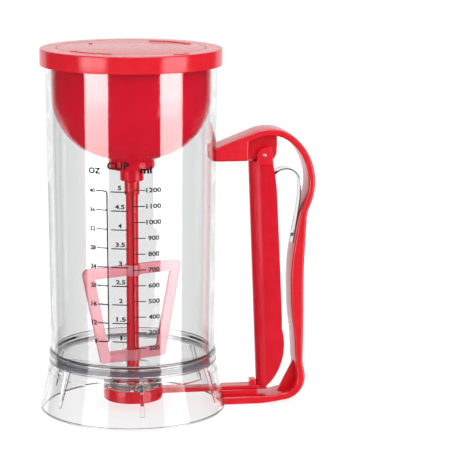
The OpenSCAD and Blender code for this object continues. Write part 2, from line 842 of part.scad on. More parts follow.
module battery_tray() {
    color("whitesmoke") difference() {
        union() {
            rod(tray_r, tray_z, tray_z + tray_floor);
            for (p = cell_spots) translate(p)
                rod(cell_r + cell_gap + cell_wall, tray_z + 1, tray_top);
            rod(tray_deck_r, tray_top - 2, tray_top);
            around(28, [60, 180, 300]) tray_leg();
        }
        for (p = cell_spots) translate(p)
            rod(cell_r + cell_gap, tray_z + tray_floor, tray_top + 1);
        translate([motor_x, 0, 0]) block(-11.2, 11.2, 17, tray_z - 1, tray_z + tray_floor + 1);
        rod(8, tray_top - 3, tray_top + 1);
        for (side = [-1, 1]) tray_strip(side, slide_fit);
    }
}

// The left strip goes round the motor
module strip_2d(side) {
    if (side > 0) translate([cell_off - 4, -cell_off - 4]) square([8, 2 * cell_off + 8]);
    else {
        translate([-link_x, -cell_off - 1.5]) square([4, 2 * cell_off + 3]);
        for (y = [-cell_off - 1.5, cell_off - 4])
            translate([-link_x, y]) square([link_x - cell_off + 4, 5.5]);
    }
}

module tray_strip(side, gap) {
    translate([0, 0, tray_z + tray_floor - strip_t]) linear_extrude(strip_t + gap) strip_2d(side);
}

module tray_contacts() {
    color(steel) for (side = [-1, 1]) tray_strip(side, 0);
}

module cell(nub_up) {
    nub_h = 1;
    body_z = nub_up ? 0 : nub_h;
    rod(cell_r, body_z, body_z + cell_l - nub_h);
    rod(2.75, 0, cell_l);
}

module batteries() {
    color("dimgray") for (p = cell_spots) translate([p[0], p[1], cell_z]) cell(p[0] * p[1] > 0);
}

// A tube through rings of points, each running anticlockwise seen from the far end
module skin(rings) {
    n = len(rings[0]);
    last = len(rings) - 1;
    polyhedron([for (r = rings) each r], concat(
        [[for (k = [0:n - 1]) k]],
        [for (i = [0:last - 1], k = [0:n - 1]) each [
            [i * n + k, (i + 1) * n + k, (i + 1) * n + (k + 1) % n],
            [i * n + k, (i + 1) * n + (k + 1) % n, i * n + (k + 1) % n]]],
        [[for (k = [n - 1:-1:0]) last * n + k]]));
}

// One contact coil, hanging from z = 0 and narrowing downwards
coil_turns = 2.5;
coil_steps = 30;
coil_sides = 6;
coil_r = 4;
coil_narrowing = 1.4;
wire_r = 0.35;

function coil_ring(i, h) = let (s = i / coil_steps, a = s * 360 * coil_turns,
        r = coil_r - coil_narrowing * s, z = -wire_r / 2 - (h - 1.5 * wire_r) * s)
    [for (k = [0:coil_sides - 1]) let (b = k * 360 / coil_sides, q = r + wire_r * cos(b))
        [q * cos(a), q * sin(a), z - wire_r * sin(b)]];

module coil(h) {
    skin([for (i = [0:coil_steps]) coil_ring(i, h)]);
}

// The plates meet the cells once the cover is turned on
module cover_contacts() {
    plate_under = lid_under + run_fit - strip_t;
    color(steel) rotate([0, 0, release_turn]) {
        translate([-cell_off - 4, cell_off - 4, plate_under])
            cube([2 * cell_off + 8, 8, strip_t]);
        for (x = [0, 1]) mirror([x, 0, 0])
            translate([cell_off - 4, -cell_off - 4, plate_under])
                cube([pad_reach - cell_off + 4, 8, strip_t]);
        for (p = cell_spots) translate([p[0], p[1], plate_under])
            coil(plate_under - cell_z - cell_l - 0.2);
    }
}

module switch_contacts() {
    color(steel) for (x = [0, 1]) mirror([x, 0, 0]) {
        translate([tab_x - 0.2, -cell_off - 2.5, tray_top])
            cube([0.4, 5, lid_under - 0.5 - tray_top]);
        translate([tab_x - 0.2, -cell_off - 2.5, tray_top]) cube([3.2, 6, strip_t]);
    }
}

// Wires from the motor's terminals to the switch tabs
lead_r = 0.6;
deck_rise = tray_top + lead_r + 0.6;
lead_turn_y = cell_r - cell_off + 3.9;
lead_route = [[motor_x, -5.9, motor_z + 26.5], [motor_x, -7, motor_z + 31.5],
    [-9, -5, tray_top - 6], [-3.5, -2.5, tray_top - 1], [-6, -6, deck_rise + 0.6],
    [-14, lead_turn_y, deck_rise], [-27, lead_turn_y, deck_rise],
    [-tab_x - 1.4, 3.3 - cell_off, deck_rise - 0.2]];
lead_route_2 = [[motor_x, 5.9, motor_z + 26.5], [-13, 7, motor_z + 31.5],
    [-6, 5, tray_top - 6], [3.5, 1.5, tray_top - 1], [6.5, -4, deck_rise + 0.6],
    [14, lead_turn_y, deck_rise], [27, lead_turn_y, deck_rise],
    [tab_x + 1.4, 3.3 - cell_off, deck_rise - 0.2]];

function unit(v) = v / norm(v);

function lead_ring(p, i) = let (last = len(p) - 1,
        t = unit(p[min(i + 1, last)] - p[max(i - 1, 0)]),
        u = unit(cross([0, 0, 1], t)), v = cross(t, u))
    [for (k = [0:7]) p[i] + lead_r * (cos(k * 45) * u + sin(k * 45) * v)];

module lead(p) {
    skin([for (i = [0:len(p) - 1]) lead_ring(p, i)]);
}

module motor_leads() {
    color("black") {
        lead(lead_route);
        lead(lead_route_2);
    }
}

// Mixing shaft and paddle

mix_head_h = 10.3;
mix_head_z = seal_hub_bottom - mix_head_h;
mix_head_r = 5.2;
shaft_foot = 20.5;
paddle_foot = 33;

module mixer_shaft() {
    color(red) difference() {
        union() {
            rod(shaft_r, shaft_foot, mix_head_z + eps);
            rod(mix_head_r, mix_head_z, seal_hub_bottom - loose_fit);
        }
        rod(out_r, mix_head_z + 1, seal_hub_bottom + 1);
    }
}

module paddle_2d() {
    tw = paddle_top_w / 2;
    fw = paddle_foot_w / 2;
    slope = (tw - fw) / (paddle_top - paddle_foot);
    inner_top = paddle_top - paddle_bar;
    inner_foot = paddle_foot + paddle_bar;
    function half_w(z) = fw + (z - paddle_foot) * slope;
    difference() {
        polygon([[-fw, paddle_foot], [fw, paddle_foot], [tw, paddle_top], [-tw, paddle_top]]);
        polygon([
            [-half_w(inner_foot) + paddle_bar, inner_foot], [half_w(inner_foot) - paddle_bar, inner_foot],
            [half_w(inner_top) - paddle_bar, inner_top], [-half_w(inner_top) + paddle_bar, inner_top]]);
    }
}

module paddle() {
    color([0.9, 0.3, 0.4, 0.8]) difference() {
        rotate([0, 0, paddle_turn]) {
            upright(paddle_t) paddle_2d();
            rod(shaft_r + 1, paddle_foot, paddle_foot + paddle_bar);
            rod(shaft_r + 1, paddle_top - paddle_bar, paddle_top);
        }
        rod(shaft_r, paddle_foot - 1, paddle_top + 1);
    }
}

jar();
outlet_neck();
base_skirt();
valve_housing();
valve_seal();
valve_screws();
valve_slider();
handle();
handle_screws();
trigger();
hinge_pin();
leaf_spring();
spring_screw();
lid_shell();
lid_gasket();
motor_housing();
housing_screws();
battery_cover();
cover_seal();
cover_contacts();
battery_tray();
batteries();
tray_contacts();
switch_contacts();
motor_leads();
motor();
motor_shaft();
motor_pinion();
gear_plate();
plate_screws();
drive_gear();
output_shaft();
shaft_bush();
shaft_seal();
mixer_shaft();
paddle();
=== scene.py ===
"""Looks of the batter dispenser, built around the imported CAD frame.

Lengths in the shape code are millimetres in the row frame: the skirt's foot on z = 0, the jar's
axis on x = y = 0, the handle towards +X. mm() turns them into metres.
"""

import bpy
import bmesh
from math import atan, cos, degrees, pi, radians, sin, tan
from mathutils import Matrix, Vector


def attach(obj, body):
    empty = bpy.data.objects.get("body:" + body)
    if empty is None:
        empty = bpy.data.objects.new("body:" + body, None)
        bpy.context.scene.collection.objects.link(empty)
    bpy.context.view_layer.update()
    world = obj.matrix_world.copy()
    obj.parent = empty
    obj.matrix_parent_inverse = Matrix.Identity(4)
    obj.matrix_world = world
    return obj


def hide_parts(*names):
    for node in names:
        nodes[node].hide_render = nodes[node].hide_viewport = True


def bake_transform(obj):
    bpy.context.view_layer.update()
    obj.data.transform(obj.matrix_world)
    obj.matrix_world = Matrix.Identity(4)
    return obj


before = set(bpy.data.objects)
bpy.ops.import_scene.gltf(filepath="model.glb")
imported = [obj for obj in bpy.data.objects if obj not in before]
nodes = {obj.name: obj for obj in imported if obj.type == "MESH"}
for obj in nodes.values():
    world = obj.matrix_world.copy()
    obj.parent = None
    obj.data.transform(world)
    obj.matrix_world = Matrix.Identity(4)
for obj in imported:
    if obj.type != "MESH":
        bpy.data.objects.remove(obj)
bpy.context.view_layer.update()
scene = bpy.context.scene
scene.view_settings.view_transform = "Standard"

MM = 0.001
ROUND = 192                 # facets round the jar, the skirt, the lid and the dome

# ---------------------------------------------------------------- small tools

ON_AXIS = 1e-6              # a radius that counts as none, in millimetres
NEARLY_STRAIGHT = 1.55      # half the angle of a corner that is too flat to round, in radians
EDGE_SHARE = 0.48           # the most of an edge that the rounding of one corner takes
WELD = 2e-6                 # vertices this near each other are joined before a bevel, in metres
NEARLY_FLAT = 0.3           # faces this near level with each other are joined too, in degrees


def mm(*v):
    """Millimetres to metres."""
    return tuple(x * MM for x in v)


def turned(x, y, angle):
    """A point turned about the jar's axis, by degrees."""
    a = radians(angle)
    return x * cos(a) - y * sin(a), x * sin(a) + y * cos(a)


def link(name, data):
    ob = bpy.data.objects.new(name, data)
    scene.collection.objects.link(ob)
    return ob


def solid(name, verts, faces):
    """A mesh object from points in millimetres, with its normals put right."""
    mesh = bpy.data.meshes.new(name)
    mesh.from_pydata([mm(*v) for v in verts], [], faces)
    bm = bmesh.new()
    bm.from_mesh(mesh)
    bmesh.ops.recalc_face_normals(bm, faces=bm.faces)
    bm.to_mesh(mesh)
    bm.free()
    return link(name, mesh)


def rounded(points, steps=5):
    """A closed outline from (x, y, radius) corners, each rounded by its radius."""
    out = []
    n = len(points)
    for i, p in enumerate(points):
        here = Vector(p[:2])
        r = p[2] if len(p) > 2 else 0
        a = Vector(points[i - 1][:2]) - here
        b = Vector(points[(i + 1) % n][:2]) - here
        half = a.angle(b) / 2
        if r <= 0 or half > NEARLY_STRAIGHT:
            out.append(tuple(here))
            continue
        d = min(r / tan(half), EDGE_SHARE * min(a.length, b.length))
        centre = here + (a.normalized() + b.normalized()).normalized() * (d / cos(half))
        v0 = here + a.normalized() * d - centre
        v1 = here + b.normalized() * d - centre
        total = v0.angle_signed(v1)
        for k in range(steps + 1):
            v = v0.copy()
            v.rotate(Matrix.Rotation(-total * k / steps, 2))
            out.append(tuple(centre + v))
    return out


def on_circle(c, r, a):
    return c[0] + r * cos(radians(a)), c[1] + r * sin(radians(a))


def arc(c, r, a0, a1, n=12):
    """n + 1 points of a circle about c, from a0 to a1 degrees."""
    return [on_circle(c, r, a0 + (a1 - a0) * i / n) for i in range(n + 1)]


def spline(points, n=8):
    """A Catmull-Rom curve through points of any dimension."""
    out = []
    p = [Vector(q) for q in points]
    p = [2 * p[0] - p[1]] + p + [2 * p[-1] - p[-2]]
    for i in range(1, len(p) - 2):
        for k in range(n):
            t = k / n
            out.append(tuple(0.5 * ((2 * p[i]) + (p[i + 1] - p[i - 1]) * t
                       + (2 * p[i - 1] - 5 * p[i] + 4 * p[i + 1] - p[i + 2]) * t * t
                       + (3 * p[i] - p[i - 1] - 3 * p[i + 1] + p[i + 2]) * t * t * t)))
    out.append(tuple(p[-2]))
    return out


def lathe(name, outline, segments):
    """Revolves a closed (r, z) outline about the jar's axis."""
    verts, rings, faces = [], [], []
    for r, z in outline:
        if r < ON_AXIS:
            rings.append([len(verts)] * segments)
            verts.append((0, 0, z))
        else:
            rings.append(list(range(len(verts), len(verts) + segments)))
            verts += [(r * cos(2 * pi * k / segments), r * sin(2 * pi * k / segments), z)
                      for k in range(segments)]
    n = len(rings)
    for i in range(n):
        a, b = rings[i], rings[(i + 1) % n]
        for k in range(segments):
            j = (k + 1) % segments
            face = []
            for v in (a[k], a[j], b[j], b[k]):
                if v not in face:
                    face.append(v)
            if len(face) > 2:
                faces.append(face)
    return solid(name, verts, faces)


def prism(name, outline, lo, hi, axis="Y"):
    """Extrudes an outline: (x, z) along Y, or (x, y) along Z."""
    n = len(outline)
    if axis == "Y":
        verts = [(x, lo, z) for x, z in outline] + [(x, hi, z) for x, z in outline]
    else:
        verts = [(x, y, lo) for x, y in outline] + [(x, y, hi) for x, y in outline]
    faces = [list(range(n)), list(range(2 * n - 1, n - 1, -1))]
    faces += [[i, (i + 1) % n, n + (i + 1) % n, n + i] for i in range(n)]
    return solid(name, verts, faces)


def box(name, x0, x1, y0, y1, z0, z1):
    return prism(name, [(x0, y0), (x1, y0), (x1, y1), (x0, y1)], z0, z1, "Z")


def disc_outline(u, v, r, n):
    return [(u + r * cos(2 * pi * k / n), v + r * sin(2 * pi * k / n)) for k in range(n)]


def rod(name, r, z0, z1, x=0, y=0, n=48):
    """An upright cylinder."""
    return prism(name, disc_outline(x, y, r, n), z0, z1, "Z")


def cross_rod(name, r, x, z, half, n=40):
    """A cylinder along Y, reaching half its length to each side."""
    return prism(name, disc_outline(x, z, r, n), -half, half, "Y")


def oblong(w, l, n=14):
    """An oblong across Y, w wide along X."""
    c = (l - w) / 2
    return arc((0, c), w / 2, 0, 180, n) + arc((0, -c), w / 2, 180, 360, n)


def bake(ob):
    """Applies an object's modifiers."""
    bpy.context.view_layer.update()
    shown = ob.evaluated_get(bpy.context.evaluated_depsgraph_get())
    mesh = bpy.data.meshes.new_from_object(shown)
    ob.modifiers.clear()
    old = ob.data
    ob.data = mesh
    mesh.name = ob.name
    bpy.data.meshes.remove(old)


def combine(ob, operation, *others):
    """Applies a boolean with each of the other objects and removes them."""
    for other in others:
        mod = ob.modifiers.new("boolean", "BOOLEAN")
        mod.operation = operation
        mod.solver = "EXACT"
        mod.object = other
        bake(ob)
        mesh = other.data
        bpy.data.objects.remove(other)
        bpy.data.meshes.remove(mesh)


def cut(ob, *cutters):
    combine(ob, "DIFFERENCE", *cutters)


def bevel(ob, width, segments=3, angle=35):
    """Rounds the edges sharper than angle, as a moulding's edges are."""
    bm = bmesh.new()
    bm.from_mesh(ob.data)
    bmesh.ops.remove_doubles(bm, verts=bm.verts, dist=WELD)
    bmesh.ops.dissolve_limit(bm, angle_limit=radians(NEARLY_FLAT), verts=bm.verts, edges=bm.edges)
    bm.to_mesh(ob.data)
    bm.free()
    mod = ob.modifiers.new("bevel", "BEVEL")
    mod.width = width * MM
    mod.segments = segments
    mod.limit_method = "ANGLE"
    mod.angle_limit = radians(angle)
    mod.harden_normals = False
    bake(ob)


def smooth(ob, angle=32):
    """Shades the surface smooth, apart from the edges sharper than angle."""
    ob.data.shade_smooth()
    ob.data.set_sharp_from_angle(angle=radians(angle))


def steady(ob):
    """Lets the large faces set the shading, so that a long clear wall bends the view evenly."""
    mod = ob.modifiers.new("normals", "WEIGHTED_NORMAL")
    mod.keep_sharp = True
    mod.weight = 100        # the strongest pull of the large faces
    bake(ob)


def dress(ob, material, slot, *replaced):
    """Gives a piece its material and hides the CAD nodes that it stands in for. The slot is not
    used.
    """
    ob.data.materials.clear()
    ob.data.materials.append(material)
    if replaced:
        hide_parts(*replaced)


# ------------------------------------------------------------------ materials


class Graph:
    """Adds nodes to a material and links them in one call."""

    def __init__(self, name):
        self.mat = bpy.data.materials.new(name)
        self.mat.use_nodes = True
        self.tree = self.mat.node_tree
        self.tree.nodes.clear()
        self.out = self.add("ShaderNodeOutputMaterial")
        self.coord = self.add("ShaderNodeTexCoord").outputs["Object"]

    def add(self, kind, **sockets):
        node = self.tree.nodes.new(kind)
        for key, value in sockets.items():
            self.put(node.inputs[key.replace("_", " ")], value)
        return node

    def put(self, socket, value):
        if isinstance(value, bpy.types.NodeSocket):
            self.tree.links.new(value, socket)
        elif isinstance(value, bpy.types.Node):
            self.tree.links.new(value.outputs[0], socket)
        else:
            socket.default_value = value

    def stretched(self, x, y, z):
        """Object coordinates scaled by axis: a noise runs long where the number is small."""
        node = self.add("ShaderNodeMapping", Vector=self.coord)
        node.inputs["Scale"].default_value = (x, y, z)
        return node.outputs[0]

    def noise(self, scale, detail=3.0, rough=0.55, vector=None):
        return self.add("ShaderNodeTexNoise", Vector=vector or self.coord, Scale=scale,
                        Detail=detail, Roughness=rough).outputs["Fac"]

    def ramp(self, value, lo, hi, out_lo=0.0, out_hi=1.0):
        node = self.add("ShaderNodeMapRange", Value=value)
        for key, v in (("From Min", lo), ("From Max", hi), ("To Min", out_lo), ("To Max", out_hi)):
            node.inputs[key].default_value = v
        return node.outputs[0]

    def math(self, operation, *values):
        node = self.add("ShaderNodeMath")
        node.operation = operation
        for socket, value in zip(node.inputs, values):
            self.put(socket, value)
        return node.outputs[0]

    def blend(self, factor, a, b):
        node = self.add("ShaderNodeMix")
        node.data_type = "RGBA"
        self.put(node.inputs[0], factor)
        self.put(node.inputs[6], a)
        self.put(node.inputs[7], b)
        return node.outputs[2]

    def bump(self, height, distance, strength=1.0, normal=None):
        node = self.add("ShaderNodeBump", Height=height)
        node.inputs["Distance"].default_value = distance
        node.inputs["Strength"].default_value = strength
        if normal is not None:
            self.put(node.inputs["Normal"], normal)
        return node.outputs[0]

    def principled(self, **values):
        node = self.add("ShaderNodeBsdfPrincipled")
        for key, value in values.items():
            self.put(node.inputs[key.replace("_", " ")], value)
        return node

    def see_through(self, *colour):
        node = self.add("ShaderNodeBsdfTransparent")
        node.inputs["Color"].default_value = rgba(*colour)
        return node

    def shader_mix(self, factor, a, b):
        node = self.add("ShaderNodeMixShader")
        for socket, value in zip(node.inputs, (factor, a, b)):
            self.put(socket, value)
        return node

    def end(self, shader):
        self.put(self.out.inputs["Surface"], shader)
        return self.mat


def rgba(*c):
    return (c[0], c[1], c[2], 1.0)


def moulded(name, dark, light, rough, grain=0.00001, shine=0.5):
    """Opaque moulded plastic: slow colour drift, uneven gloss and a fine orange-peel skin."""
    g = Graph(name)
    drift = g.noise(90.0)
    colour = g.blend(g.ramp(drift, 0.3, 0.7), rgba(*dark), rgba(*light))
    smear = g.noise(160.0, 5.0, 0.65, g.stretched(1.0, 1.0, 0.35))
    gloss = g.ramp(smear, 0.3, 0.75, rough - 0.05, rough + 0.07)
    skin = g.bump(g.noise(900.0, 2.0), grain, 0.6)
    skin = g.bump(g.noise(60.0, 1.0), grain * 6, 0.5, skin)
    return g.end(g.principled(Base_Color=colour, Roughness=gloss, Normal=skin, IOR=1.5,
                              Specular_IOR_Level=shine))


def metal(name, tint, rough, stretch, scale=700.0, depth=0.000006):
    """Brushed or drawn metal: fine lines along one way, and patches where it is a little darker."""
    g = Graph(name)
    lines = g.noise(scale, 4.0, 0.6, g.stretched(*stretch))
    patch = g.noise(120.0)
    base = g.blend(g.ramp(patch, 0.35, 0.7), rgba(*tint), rgba(*[c * 0.86 for c in tint]))
    gloss = g.ramp(lines, 0.3, 0.7, rough - 0.06, rough + 0.1)
    return g.end(g.principled(Base_Color=base, Metallic=1.0, Roughness=gloss,
                              Normal=g.bump(lines, depth, 0.7)))


def clear(name, tint, density, rough):
    """Clear moulded plastic: faint flow waves and haze, grey where it is deep, open to the light."""
    g = Graph(name)
    waves = g.noise(28.0, 1.5, 0.4, g.stretched(1.0, 1.0, 0.3))
    fine = g.noise(420.0, 2.0)
    skin = g.bump(waves, 0.00006, 0.35)
    skin = g.bump(fine, 0.000002, 0.4, skin)
    haze = g.ramp(g.noise(70.0, 4.0), 0.35, 0.75, rough, rough + 0.012)
    glass = g.principled(Base_Color=rgba(*tint), Roughness=haze, Normal=skin, IOR=1.49,
                         Transmission_Weight=1.0, Coat_Weight=0.4, Coat_IOR=1.5, Coat_Roughness=0.01)
    path = g.add("ShaderNodeLightPath").outputs
    lit = g.math("MAXIMUM", path["Is Shadow Ray"], path["Is Diffuse Ray"])
    mix = g.shader_mix(lit, glass, g.see_through(0.93, 0.935, 0.94))
    depth = g.add("ShaderNodeVolumeAbsorption", Color=rgba(0.62, 0.66, 0.68), Density=density)
    g.put(g.out.inputs["Volume"], depth)
    return g.end(mix)


red = moulded("red_plastic", (0.75, 0.009, 0.022), (0.82, 0.014, 0.03), 0.19)
trigger_red = moulded("trigger_plastic", (0.66, 0.008, 0.022), (0.73, 0.012, 0.03), 0.2, shine=0.2)
red_gloss = moulded("red_gloss_plastic", (0.84, 0.003, 0.025), (0.9, 0.004, 0.032), 0.11, 0.000005)
jar_clear = clear("clear_jar", (0.955, 0.958, 0.96), 8.0, 0.006)
base_clear = clear("clear_skirt", (0.985, 0.988, 0.99), 1.5, 0.008)
silicone = moulded("silicone", (0.78, 0.78, 0.75), (0.86, 0.86, 0.84), 0.5, 0.00002)
rubber = moulded("seal_rubber", (0.02, 0.02, 0.021), (0.045, 0.045, 0.047), 0.6, 0.00002)
white = moulded("white_plastic", (0.76, 0.76, 0.73), (0.83, 0.83, 0.8), 0.42, 0.00002)
wire = moulded("wire_jacket", (0.015, 0.015, 0.016), (0.035, 0.035, 0.037), 0.45, 0.00001)
steel = metal("steel", (0.66, 0.66, 0.67), 0.25, (1.0, 1.0, 12.0))
bright = metal("bright_steel", (0.86, 0.86, 0.87), 0.14, (12.0, 1.0, 12.0), 500.0, 0.000003)
pin_steel = metal("pin_steel", (0.92, 0.92, 0.92), 0.46, (1.0, 1.0, 1.0))
can = metal("motor_can", (0.64, 0.65, 0.66), 0.3, (6.0, 6.0, 1.0), 500.0)
brass = metal("brass", (0.74, 0.53, 0.22), 0.28, (1.0, 1.0, 8.0))

COPPER_Z = 0.2258           # where the cells' copper part begins, in metres


def jacket():
    """Cell sleeves: a dark lower part and a copper upper part."""
    g = Graph("cell_jacket")
    z = g.add("ShaderNodeSeparateXYZ", Vector=g.coord).outputs["Z"]
    edge = g.noise(900.0, 2.0)
    shift = g.math("MULTIPLY_ADD", edge, 0.00012, z)
    copper = g.ramp(shift, COPPER_Z, COPPER_Z + 0.0001)
    mottle = g.noise(240.0)
    dark = g.blend(mottle, rgba(0.015, 0.015, 0.018), rgba(0.03, 0.03, 0.034))
    warm = g.blend(mottle, rgba(0.5, 0.24, 0.09), rgba(0.6, 0.31, 0.13))
    gloss = g.ramp(g.noise(300.0, 4.0), 0.3, 0.7, 0.2, 0.34)
    return g.end(g.principled(Base_Color=g.blend(copper, dark, warm), Metallic=0.55,
                              Roughness=gloss, Normal=g.bump(edge, 0.000008, 0.5)))


def tinted():
    """The paddle's see-through red plastic."""
    g = Graph("paddle_plastic")
    drift = g.noise(55.0)
    colour = g.blend(drift, rgba(0.9, 0.3, 0.36), rgba(0.96, 0.39, 0.45))
    haze = g.ramp(g.noise(130.0, 4.0), 0.3, 0.75, 0.12, 0.24)
    skin = g.bump(g.noise(500.0, 2.0), 0.00001, 0.5)
    body = g.principled(Base_Color=colour, Roughness=haze, Normal=skin, IOR=1.46,
                        Transmission_Weight=0.45)
    shadow = g.add("ShaderNodeLightPath").outputs["Is Shadow Ray"]
    return g.end(g.shader_mix(shadow, body, g.see_through(0.9, 0.35, 0.4)))


def make_painted_dark_reflection():
    """A painted dark reflection: a dark see-through band at the jar's lip that stands in for the
    dark reflection its clear wall shows there.
    """
    g = Graph("painted_dark_reflection_band")
    drift = g.noise(70.0)
    colour = g.blend(drift, rgba(0.34, 0.29, 0.36), rgba(0.46, 0.41, 0.47))
    haze = g.ramp(g.noise(260.0, 4.0), 0.3, 0.75, 0.08, 0.2)
    skin = g.bump(g.noise(400.0, 2.0), 0.00001, 0.5)
    return g.end(g.principled(Base_Color=colour, Roughness=haze, Normal=skin, IOR=1.46,
                              Transmission_Weight=0.75))


def printed():
    """Black screen-print ink, thinner in places."""
    g = Graph("printed_ink")
    wear = g.noise(1500.0)
    colour = g.blend(g.ramp(wear, 0.4, 0.8), rgba(0.006, 0.006, 0.007), rgba(0.03, 0.03, 0.032))
    return g.end(g.principled(Base_Color=colour, Roughness=g.ramp(wear, 0.3, 0.7, 0.55, 0.7),
                              Normal=g.bump(wear, 0.000004, 0.4), Specular_IOR_Level=0.05))


cell_jacket = jacket()
paddle_red = tinted()
# painted dark reflection for the jar's lip
lip_dark_paint = make_painted_dark_reflection()
ink = printed()

# ----------------------------------------------------------- sizes of the CAD

FOOT_R, COLLAR_R, SKIRT_WALL, COLLAR_TOP, FLARE_TOP = 64.4, 57.4, 2.4, 42.0, 30.5
SHOULDER_R, SHOULDER_Z = 58.6, 27.0
JAR_R, MOUTH_R, JAR_WALL, JAR_TOP = 56.5, 58.2, 2.3, 245.4
LIP_R = COLLAR_R - SKIRT_WALL - 0.1
LIP_INNER = LIP_R - JAR_WALL
FLANGE_R, FLANGE_Z, FLANGE_TOP, NECK_WALL_R = 20.3, 14.6, 19.4, 17.3
OUTLET_W, OUTLET_L = 7, 20              # the oblong hole under the funnel
LID_UNDER, LID_TOP, LID_R, LID_FOOT, COVER_R = 247.0, 250.0, 61.8, 238.5, 50.5
PIN_X, PIN_Z, PIN_R = 90.4, 176.0, 1.25
SHAFT_R, PADDLE_TOP, PADDLE_FOOT = 4.25, 100.4, 33.0
GATE_Z, GATE_T, GATE_HALF, BAR_HALF, BAR_END, BAR_HOLE_X = 9.0, 3.0, 13.5, 5, 94, 88.6


def jar_r(z):
    """The jar's outer radius at height z."""
    return JAR_R + (MOUTH_R - JAR_R) * (z - COLLAR_TOP) / (JAR_TOP - COLLAR_TOP)


def skirt_r(z):
    """The skirt's outer radius at height z, under its shoulder."""
    return FOOT_R + (SHOULDER_R - FOOT_R) * z / SHOULDER_Z


# ------------------------------------------------------------ jar and skirt

SEAM_LOW, SEAM_TOP, SEAM_DEPTH = 33.8, 38.1, 0.6    # the groove of the dark band
SHELF_Z = COLLAR_TOP + 0.06                         # where the jar stands on the collar
BEADS = ((34.0, 0.25, 0.75), (39.3, 0.2, 0.6))      # height, depth of the centre, radius
RIB_HALF, RIB_INNER, RIB_TOP = 1.2, 51.8, 32.6

jar = lathe("jar_shell", rounded([
    (0, FLANGE_Z), (FLANGE_R, FLANGE_Z, 0.5), (FLANGE_R, FLANGE_TOP, 0.6),
    (NECK_WALL_R, FLANGE_TOP, 0.8), (NECK_WALL_R, 26.1, 2.5), (LIP_INNER, 36.2, 1.0),
    (LIP_INNER, 33, 0.4), (LIP_R, 33, 0.4), (LIP_R, SEAM_LOW), (LIP_R - SEAM_DEPTH, SEAM_LOW),
    (LIP_R - SEAM_DEPTH, SEAM_TOP), (LIP_R, SEAM_TOP), (LIP_R, SHELF_Z, 0.25),
    (JAR_R, SHELF_Z, 0.5), (MOUTH_R, JAR_TOP, 0.8), (MOUTH_R - JAR_WALL, JAR_TOP, 0.6),
    (JAR_R - JAR_WALL, 41.0, 0.8), (LIP_INNER, 39.5, 0.6), (LIP_INNER, 38.5, 0.6),
    (15, 28.4, 3), (15, 22, 1.6), (11.2, 16.6, 0.8), (0, 16.6)]), ROUND)
cut(jar, prism("cutter", oblong(OUTLET_W, OUTLET_L), FLANGE_Z - 1, 17.6, "Z"))
smooth(jar, 40)
steady(jar)
dress(jar, jar_clear, "clear_plastic", "jar", "outlet_neck")
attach(jar, "base")

# A painted dark reflection: a dark see-through band in the lip's groove, a hair's breadth clear of
# it, standing in for the dark reflection the clear lip shows there
HAIR = 0.04
band_in, band_out = LIP_R - SEAM_DEPTH + HAIR, LIP_R - HAIR
dark_paint_ring = lathe("lip_painted_reflection", rounded([
    (band_in, SEAM_LOW + HAIR), (band_out, SEAM_LOW + HAIR, 0.15),
    (band_out, SEAM_TOP - HAIR, 0.15), (band_in, SEAM_TOP - HAIR)]), ROUND)
smooth(dark_paint_ring, 40)
# The band is painted dark reflection, not a seal; it only shares the rubber's slot name
dress(dark_paint_ring, lip_dark_paint, "seal_rubber")
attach(dark_paint_ring, "base")

skirt = lathe("skirt_shell", rounded([
    (61.2, 0, 0.4), (FOOT_R, 0, 0.9), (SHOULDER_R, SHOULDER_Z, 1.6), (COLLAR_R, FLARE_TOP, 1.6),
    *[p for z, inset, r in BEADS for p in arc((COLLAR_R - inset, z), r, -68, 68, 8)],
    (COLLAR_R, COLLAR_TOP, 1.3), (55.0, COLLAR_TOP, 0.3), (55.0, FLARE_TOP, 1.6),
    (56.2, SHOULDER_Z, 1.6), (62.0, 1.0, 0.4)]), ROUND)
for k in range(6):
    rib = prism("rib", [(skirt_r(8) - 1.4, 8), (57.2, SHOULDER_Z), (56.0, FLARE_TOP),
                        (56.0, RIB_TOP), (RIB_INNER, RIB_TOP), (skirt_r(8) - 2.7, 8)],
                -RIB_HALF, RIB_HALF)
    rib.data.transform(Matrix.Rotation(radians(30 + 60 * k), 4, "Z"))
    combine(skirt, "UNION", rib)
# The slot for the gate's bar
cut(skirt, box("cutter", 49, 66.4, -BAR_HALF - 0.4, BAR_HALF + 0.4, GATE_Z - 0.4, 12.4))
bevel(skirt, 0.25, 2, 60)
smooth(skirt, 34)
steady(skirt)
dress(skirt, base_clear, "clear_base", "base_skirt")
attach(skirt, "base")

# -------------------------------------------------------------------- valve

CUP_R, CUP_FOOT, CUP_TOP_Z = 20.5, 6, 14.55
SCREW_R, SCREW_RING = 2.35, 16.9

cup = lathe("valve_cup", rounded([
    (0, CUP_FOOT), (CUP_R, CUP_FOOT, 1.1), (CUP_R, CUP_TOP_Z, 0.4), (0, CUP_TOP_Z)]), 96)
cut(cup, box("cutter", -5.3, 24, -GATE_HALF - 0.1, GATE_HALF + 0.1, GATE_Z - 0.1, 12.1),
    prism("cutter", oblong(OUTLET_W, OUTLET_L), 5, 10, "Z"), rod("cutter", 13.4, 12.09, 15.6, n=72))
for a in (90, 180, 270):
    x, y = turned(SCREW_RING, 0, a)
    cut(cup, rod("cutter", SCREW_R, 5, 7.4, x, y, 32))
bevel(cup, 0.25, 2, 50)
smooth(cup)
dress(cup, red, "red_plastic", "valve_housing")
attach(cup, "base")

